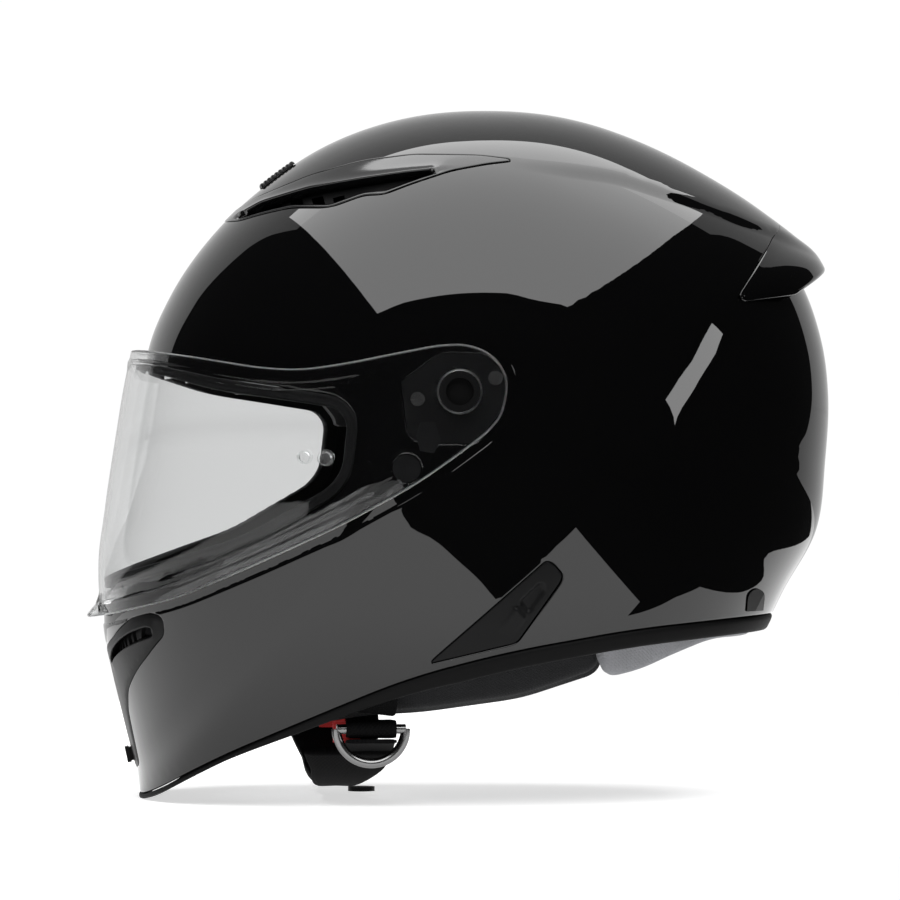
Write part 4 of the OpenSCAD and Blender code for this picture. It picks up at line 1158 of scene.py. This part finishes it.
def woven_ribs(group, enter, leave):
    """Woven webbing on the band's own map: fine ribs along it, crossed by weft."""
    place = add(group, "ShaderNodeTexCoord")
    parts = add(group, "ShaderNodeSeparateXYZ")
    join(group, place.outputs["UV"], parts.inputs[0])
    waves = []
    for source, share in (("X", 1.0), ("Y", 0.8)):
        scaled = add(group, "ShaderNodeMath", operation="MULTIPLY")
        join(group, parts.outputs[source], scaled.inputs[0])
        join(group, enter.outputs["Scale"], scaled.inputs[1])
        turn = add(group, "ShaderNodeMath", operation="MULTIPLY", i1=2 * math.pi * share)
        join(group, scaled.outputs[0], turn.inputs[0])
        sine = add(group, "ShaderNodeMath", operation="SINE")
        join(group, turn.outputs[0], sine.inputs[0])
        waves.append(sine.outputs[0])
    both = add(group, "ShaderNodeMath", operation="MULTIPLY")
    join(group, waves[0], both.inputs[0])
    join(group, waves[1], both.inputs[1])
    cloud = add(group, "ShaderNodeTexNoise")
    cloud.inputs["Scale"].default_value = 90
    join(group, place.outputs["Object"], cloud.inputs["Vector"])
    join(group, both.outputs[0], leave.inputs["Height"])
    join(group, cloud.outputs["Fac"], leave.inputs["Mottle"])


def finish_of(name, colour, group=None, values=None, bump=0.0, fine=0.0002, shade=0.25, rough=None,
              **sockets):
    """A Principled material. The group's mottle shades the colour, and its height is the bump, fine metres
    deep."""
    material = bpy.data.materials.new(name)
    material.use_nodes = True
    tree = material.node_tree
    shader = tree.nodes["Principled BSDF"]
    shader.inputs["Base Color"].default_value = tuple(colour)[:3] + (1,)
    for label, value in sockets.items():
        shader.inputs[label.replace("_", " ")].default_value = value
    if rough is not None:
        shader.inputs["Roughness"].default_value = rough
    if group:
        pattern = add(tree, "ShaderNodeGroup", node_tree=group)
        for label, value in (values or {}).items():
            pattern.inputs[label].default_value = value
        if shade:
            mix = add(tree, "ShaderNodeMix", data_type="RGBA")
            dark = [c * (1 - shade) for c in tuple(colour)[:3]] + [1]
            light = [min(c * (1 + shade), 1) for c in tuple(colour)[:3]] + [1]
            mix.inputs[6].default_value = dark
            mix.inputs[7].default_value = light
            join(tree, pattern.outputs["Mottle"], mix.inputs["Factor"])
            join(tree, mix.outputs[2], shader.inputs["Base Color"])
        if "Roughness" in pattern.outputs:
            join(tree, pattern.outputs["Roughness"], shader.inputs["Roughness"])
        if bump:
            bumped = add(tree, "ShaderNodeBump")
            bumped.inputs["Strength"].default_value = bump
            bumped.inputs["Distance"].default_value = fine
            join(tree, pattern.outputs["Height"], bumped.inputs["Height"])
            join(tree, bumped.outputs["Normal"], shader.inputs["Normal"])
    return material


def clear_finish():
    """Clear polycarbonate: it lets light through, and its shadow is only faintly grey. The edge attribute
    frosts the cut edge."""
    material = bpy.data.materials.new("clear visor")
    material.use_nodes = True
    tree = material.node_tree
    shader = tree.nodes["Principled BSDF"]
    shader.inputs["Base Color"].default_value = (0.96, 0.965, 0.965, 1)
    shader.inputs["Transmission Weight"].default_value = 1
    shader.inputs["IOR"].default_value = 1.32
    edge = add(tree, "ShaderNodeAttribute", attribute_name="edge")
    cloud = add(tree, "ShaderNodeTexNoise")
    cloud.inputs["Scale"].default_value = 900
    place = add(tree, "ShaderNodeTexCoord")
    join(tree, place.outputs["Object"], cloud.inputs["Vector"])
    frost = add(tree, "ShaderNodeMath", operation="MULTIPLY", i1=0.35)
    join(tree, edge.outputs["Fac"], frost.inputs[0])
    base = add(tree, "ShaderNodeMath", operation="MULTIPLY_ADD", i1=0.004)
    join(tree, cloud.outputs["Fac"], base.inputs[0])
    join(tree, frost.outputs[0], base.inputs[2])
    join(tree, base.outputs[0], shader.inputs["Roughness"])
    see = add(tree, "ShaderNodeBsdfTransparent")
    see.inputs["Color"].default_value = (0.86, 0.87, 0.88, 1)
    path = add(tree, "ShaderNodeLightPath")
    mix = add(tree, "ShaderNodeMixShader")
    out = tree.nodes["Material Output"]
    join(tree, path.outputs["Is Shadow Ray"], mix.inputs[0])
    join(tree, shader.outputs[0], mix.inputs[1])
    join(tree, see.outputs[0], mix.inputs[2])
    join(tree, mix.outputs[0], out.inputs["Surface"])
    return material


def make_materials():
    """Every finish of the helmet, kept by name."""
    paint = bpy.context.scene.helmet_colours
    grain = group_of("moulded grain", {"Scale": 1500, "Roughness": 0.4, "Spread": 0.1},
                     ["Height", "Roughness", "Mottle"], moulded_grain)
    knit = group_of("knit loops", {"Scale": 300}, ["Height", "Mottle"], knit_loops)
    ribs = group_of("woven ribs", {"Scale": 700}, ["Height", "Mottle"], woven_ribs)
    made = {
        "shell": finish_of("gloss black paint", paint.shell, grain,
                           {"Scale": 900, "Roughness": 0.16, "Spread": 0.05}, shade=0.2,
                           Specular_IOR_Level=0.0, Coat_Weight=1.0, Coat_Roughness=0.012, Coat_IOR=1.5),
        "plastic": finish_of("satin black plastic", paint.plastic, grain,
                             {"Scale": 1900, "Roughness": 0.36, "Spread": 0.1}, bump=0.12, fine=0.00012,
                             Specular_IOR_Level=0.12),
        "gloss plastic": finish_of("polished black plastic", paint.plastic, grain,
                                   {"Scale": 1200, "Roughness": 0.08, "Spread": 0.05}, bump=0.02,
                                   fine=0.0001),
        "grille": finish_of("grille black", paint.rubber, grain,
                            {"Scale": 1700, "Roughness": 0.5, "Spread": 0.1}, bump=0.15, fine=0.00012,
                            Specular_IOR_Level=0.06),
        "rubber": finish_of("black rubber", paint.rubber, grain,
                            {"Scale": 2200, "Roughness": 0.52, "Spread": 0.14}, bump=0.15, fine=0.0001,
                            Specular_IOR_Level=0.08),
        "foam": finish_of("grey bead foam", (0.03, 0.03, 0.032), grain,
                          {"Scale": 260, "Roughness": 0.75, "Spread": 0.1}, bump=0.6, fine=0.0006,
                          shade=0.35),
        "lining": finish_of("charcoal knit", paint.lining, knit, {"Scale": 330}, bump=0.55, fine=0.0004,
                            shade=0.3, rough=0.85, Sheen_Weight=0.04, Sheen_Roughness=0.5,
                            Specular_IOR_Level=0.2),
        "collar": finish_of("silver knit", paint.collar, knit, {"Scale": 300}, bump=0.5, fine=0.0004,
                            shade=0.18, rough=0.8, Sheen_Weight=0.1, Sheen_Roughness=0.5),
        "webbing": finish_of("black webbing", paint.webbing, ribs, {"Scale": 700}, bump=0.5, fine=0.0003,
                             shade=0.3, rough=0.7, Specular_IOR_Level=0.06),
        "steel": finish_of("dark plated steel", (0.2, 0.2, 0.2), grain,
                           {"Scale": 700, "Roughness": 0.16, "Spread": 0.12}, bump=0.03, fine=0.00005,
                           shade=0.06, Metallic=1.0),
        "pull": finish_of("red knit tape", paint.pull, knit, {"Scale": 420}, bump=0.5, fine=0.0003, shade=0.2,
                          rough=0.75, Sheen_Weight=0.3),
        "visor": clear_finish(),
    }
    MATERIALS.update(made)


# ---- Stage ----


def lamp(name, place, back, along, width, height, radiance):
    """A rectangular area light: back points away from what it lights, and its width runs along."""
    data = bpy.data.lights.new(name, "AREA")
    data.shape = "RECTANGLE"
    data.size, data.size_y = width, height
    data.energy = radiance * math.pi * width * height
    light = bpy.data.objects.new(name, data)
    z = Vector(back).normalized()
    x = (Vector(along) - Vector(along).dot(z) * z).normalized()
    light.location = place
    light.rotation_euler = Matrix((x, z.cross(x), z)).transposed().to_euler()
    bpy.context.scene.collection.objects.link(light)
    return light


def glowing(name, grey, rough, strength):
    """A grey matt finish that gives off some light of its own."""
    return finish_of(name, (grey, grey, grey), rough=rough, Specular_IOR_Level=0.0,
                     Emission_Color=(1, 1, 1, 1), Emission_Strength=strength)


def build_stage():
    """The camera, a pale floor with a dark gap on the camera's side, a backdrop, a wide panel overhead and a
    strip to the rear."""
    scene = bpy.context.scene
    data = bpy.data.cameras.new("camera")
    data.lens = LENS
    data.sensor_width = 36
    data.clip_end = 30
    camera = bpy.data.objects.new("camera", data)
    turn = math.radians(CAMERA_TURN)
    camera.location = Vector(CAMERA_TARGET) + CAMERA_AWAY * Vector((math.sin(turn), -math.cos(turn), 0))
    camera.rotation_euler = (Vector(CAMERA_TARGET) - camera.location).to_track_quat("-Z", "Y").to_euler()
    scene.collection.objects.link(camera)
    scene.camera = camera
    scene.view_settings.view_transform = "Standard"

    low = WHOLE_BOX[0][2] / MM
    ground = np.array([(x, y, low) for x, y in FLOOR_OUTLINE])
    floor = mesh_piece("floor", ground, [list(range(len(ground)))])
    floor.data.materials.append(glowing("white floor", 0.62, 0.7, 0.62))
    rise = np.array([(-1000, 0), (-1450, 50), (-1750, 300), (-1900, 1300), (-1500, 2400), (-800, 2800)])
    path = softened(rise, 300, closed=False, step=30)
    points = np.array([[x, y, low + z] for x, z in path for y in (-2000, 2300)])
    i = np.arange(len(path) - 1) * 2
    backdrop = mesh_piece("backdrop", points, np.stack([i, i + 2, i + 3, i + 1], -1))
    backdrop.data.materials.append(glowing("pale backdrop", 0.2, 0.8, 0.56))
    backdrop.visible_camera = False

    lamp("overhead panel", (0.775, 0.03, 1.2), (0, 0, 1), (1, 0, 0), 2.85, 1.85, 4.0)
    lamp("rear strip", (0.66, 1.0, 0.175), (0.66, 1.0, 0.175), (0.54, 0, -0.37), 0.62, 0.1, 5.2)

    world = bpy.data.worlds.new("studio")
    world.use_nodes = True
    tree = world.node_tree
    back = tree.nodes["Background"]
    path = add(tree, "ShaderNodeLightPath")
    seen = add(tree, "ShaderNodeMath", operation="MULTIPLY_ADD", i1=1.0, i2=0.02)
    join(tree, path.outputs["Is Camera Ray"], seen.inputs[0])
    join(tree, seen.outputs[0], back.inputs["Strength"])
    back.inputs["Color"].default_value = (1, 1, 1, 1)
    scene.world = world


# ---- Operators ----


class HELMET_OT_materials(bpy.types.Operator):
    """Makes every finish."""

    bl_idname = "helmet.materials"
    bl_label = "Materials"
    bl_options = {"REGISTER", "UNDO"}

    def execute(self, context):
        make_materials()
        return {"FINISHED"}


class HELMET_OT_stage(bpy.types.Operator):
    """Sets up the camera, the floor and the lights."""

    bl_idname = "helmet.stage"
    bl_label = "Stage"
    bl_options = {"REGISTER", "UNDO"}

    def execute(self, context):
        build_stage()
        return {"FINISHED"}


class HELMET_OT_shell(bpy.types.Operator):
    """Builds the polished shell."""

    bl_idname = "helmet.shell"
    bl_label = "Shell"
    bl_options = {"REGISTER", "UNDO"}

    def execute(self, context):
        build_shell()
        return {"FINISHED"}


class HELMET_OT_covers(bpy.types.Operator):
    """Builds the forehead scoop and the side inserts."""

    bl_idname = "helmet.covers"
    bl_label = "Covers"
    bl_options = {"REGISTER", "UNDO"}

    def execute(self, context):
        build_covers()
        return {"FINISHED"}


class HELMET_OT_chin_frame(bpy.types.Operator):
    """Builds the chin vent's frame."""

    bl_idname = "helmet.chin_frame"
    bl_label = "Chin vent frame"
    bl_options = {"REGISTER", "UNDO"}

    def execute(self, context):
        build_chin_frame()
        return {"FINISHED"}


class HELMET_OT_spoiler(bpy.types.Operator):
    """Builds the rear spoiler."""

    bl_idname = "helmet.spoiler"
    bl_label = "Rear spoiler"
    bl_options = {"REGISTER", "UNDO"}

    def execute(self, context):
        build_spoiler()
        return {"FINISHED"}


class HELMET_OT_slider(bpy.types.Operator):
    """Builds the crown vent's slider."""

    bl_idname = "helmet.slider"
    bl_label = "Crown slider"
    bl_options = {"REGISTER", "UNDO"}

    def execute(self, context):
        build_slider()
        return {"FINISHED"}


class HELMET_OT_visor(bpy.types.Operator):
    """Builds the clear visor."""

    bl_idname = "helmet.visor"
    bl_label = "Visor"
    bl_options = {"REGISTER", "UNDO"}

    def execute(self, context):
        build_visor()
        return {"FINISHED"}


class HELMET_OT_gasket(bpy.types.Operator):
    """Builds the eye port's rubber seal."""

    bl_idname = "helmet.gasket"
    bl_label = "Eye port seal"
    bl_options = {"REGISTER", "UNDO"}

    def execute(self, context):
        build_gasket()
        return {"FINISHED"}


class HELMET_OT_trim(bpy.types.Operator):
    """Builds the rubber bead on the rim."""

    bl_idname = "helmet.trim"
    bl_label = "Rim bead"
    bl_options = {"REGISTER", "UNDO"}

    def execute(self, context):
        build_trim()
        return {"FINISHED"}


class HELMET_OT_liner(bpy.types.Operator):
    """Builds the quilted liner."""

    bl_idname = "helmet.liner"
    bl_label = "Comfort liner"
    bl_options = {"REGISTER", "UNDO"}

    def execute(self, context):
        build_liner()
        return {"FINISHED"}


class HELMET_OT_pads(bpy.types.Operator):
    """Builds the cheek pads, the neck roll and the breath guard."""

    bl_idname = "helmet.pads"
    bl_label = "Pads"
    bl_options = {"REGISTER", "UNDO"}

    def execute(self, context):
        build_pads()
        return {"FINISHED"}


class HELMET_OT_straps(bpy.types.Operator):
    """Builds the chin strap."""

    bl_idname = "helmet.straps"
    bl_label = "Straps"
    bl_options = {"REGISTER", "UNDO"}

    def execute(self, context):
        build_straps()
        return {"FINISHED"}


class HELMET_OT_dress(bpy.types.Operator):
    """Gives the other parts their finishes."""

    bl_idname = "helmet.dress"
    bl_label = "Small parts"
    bl_options = {"REGISTER", "UNDO"}

    def execute(self, context):
        dress_nodes()
        return {"FINISHED"}


class HELMET_PT_build(bpy.types.Panel):
    """Sizes, colours and the builders, in the order that they run."""

    bl_label = "Helmet"
    bl_space_type = "VIEW_3D"
    bl_region_type = "UI"
    bl_category = "Helmet"

    def draw(self, context):
        layout = self.layout
        for group in (context.scene.helmet_sizes, context.scene.helmet_colours):
            for name in group.__annotations__:
                layout.prop(group, name)
        for kind in OPERATORS:
            layout.operator(kind.bl_idname)


OPERATORS = [HELMET_OT_materials, HELMET_OT_stage, HELMET_OT_shell, HELMET_OT_covers,
             HELMET_OT_chin_frame, HELMET_OT_spoiler, HELMET_OT_slider, HELMET_OT_visor,
             HELMET_OT_gasket, HELMET_OT_trim, HELMET_OT_liner, HELMET_OT_pads, HELMET_OT_straps,
             HELMET_OT_dress]
CLASSES = [HelmetSizes, HelmetColours, HELMET_PT_build, *OPERATORS]


def register():
    for kind in CLASSES:
        bpy.utils.register_class(kind)
    bpy.types.Scene.helmet_sizes = PointerProperty(type=HelmetSizes)
    bpy.types.Scene.helmet_colours = PointerProperty(type=HelmetColours)


def unregister():
    del bpy.types.Scene.helmet_colours
    del bpy.types.Scene.helmet_sizes
    for kind in reversed(CLASSES):
        bpy.utils.unregister_class(kind)


def main():
    """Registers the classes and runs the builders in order."""
    register()
    for kind in OPERATORS:
        getattr(bpy.ops.helmet, kind.bl_idname.split(".")[1])()


if __name__ == "__main__":
    main()
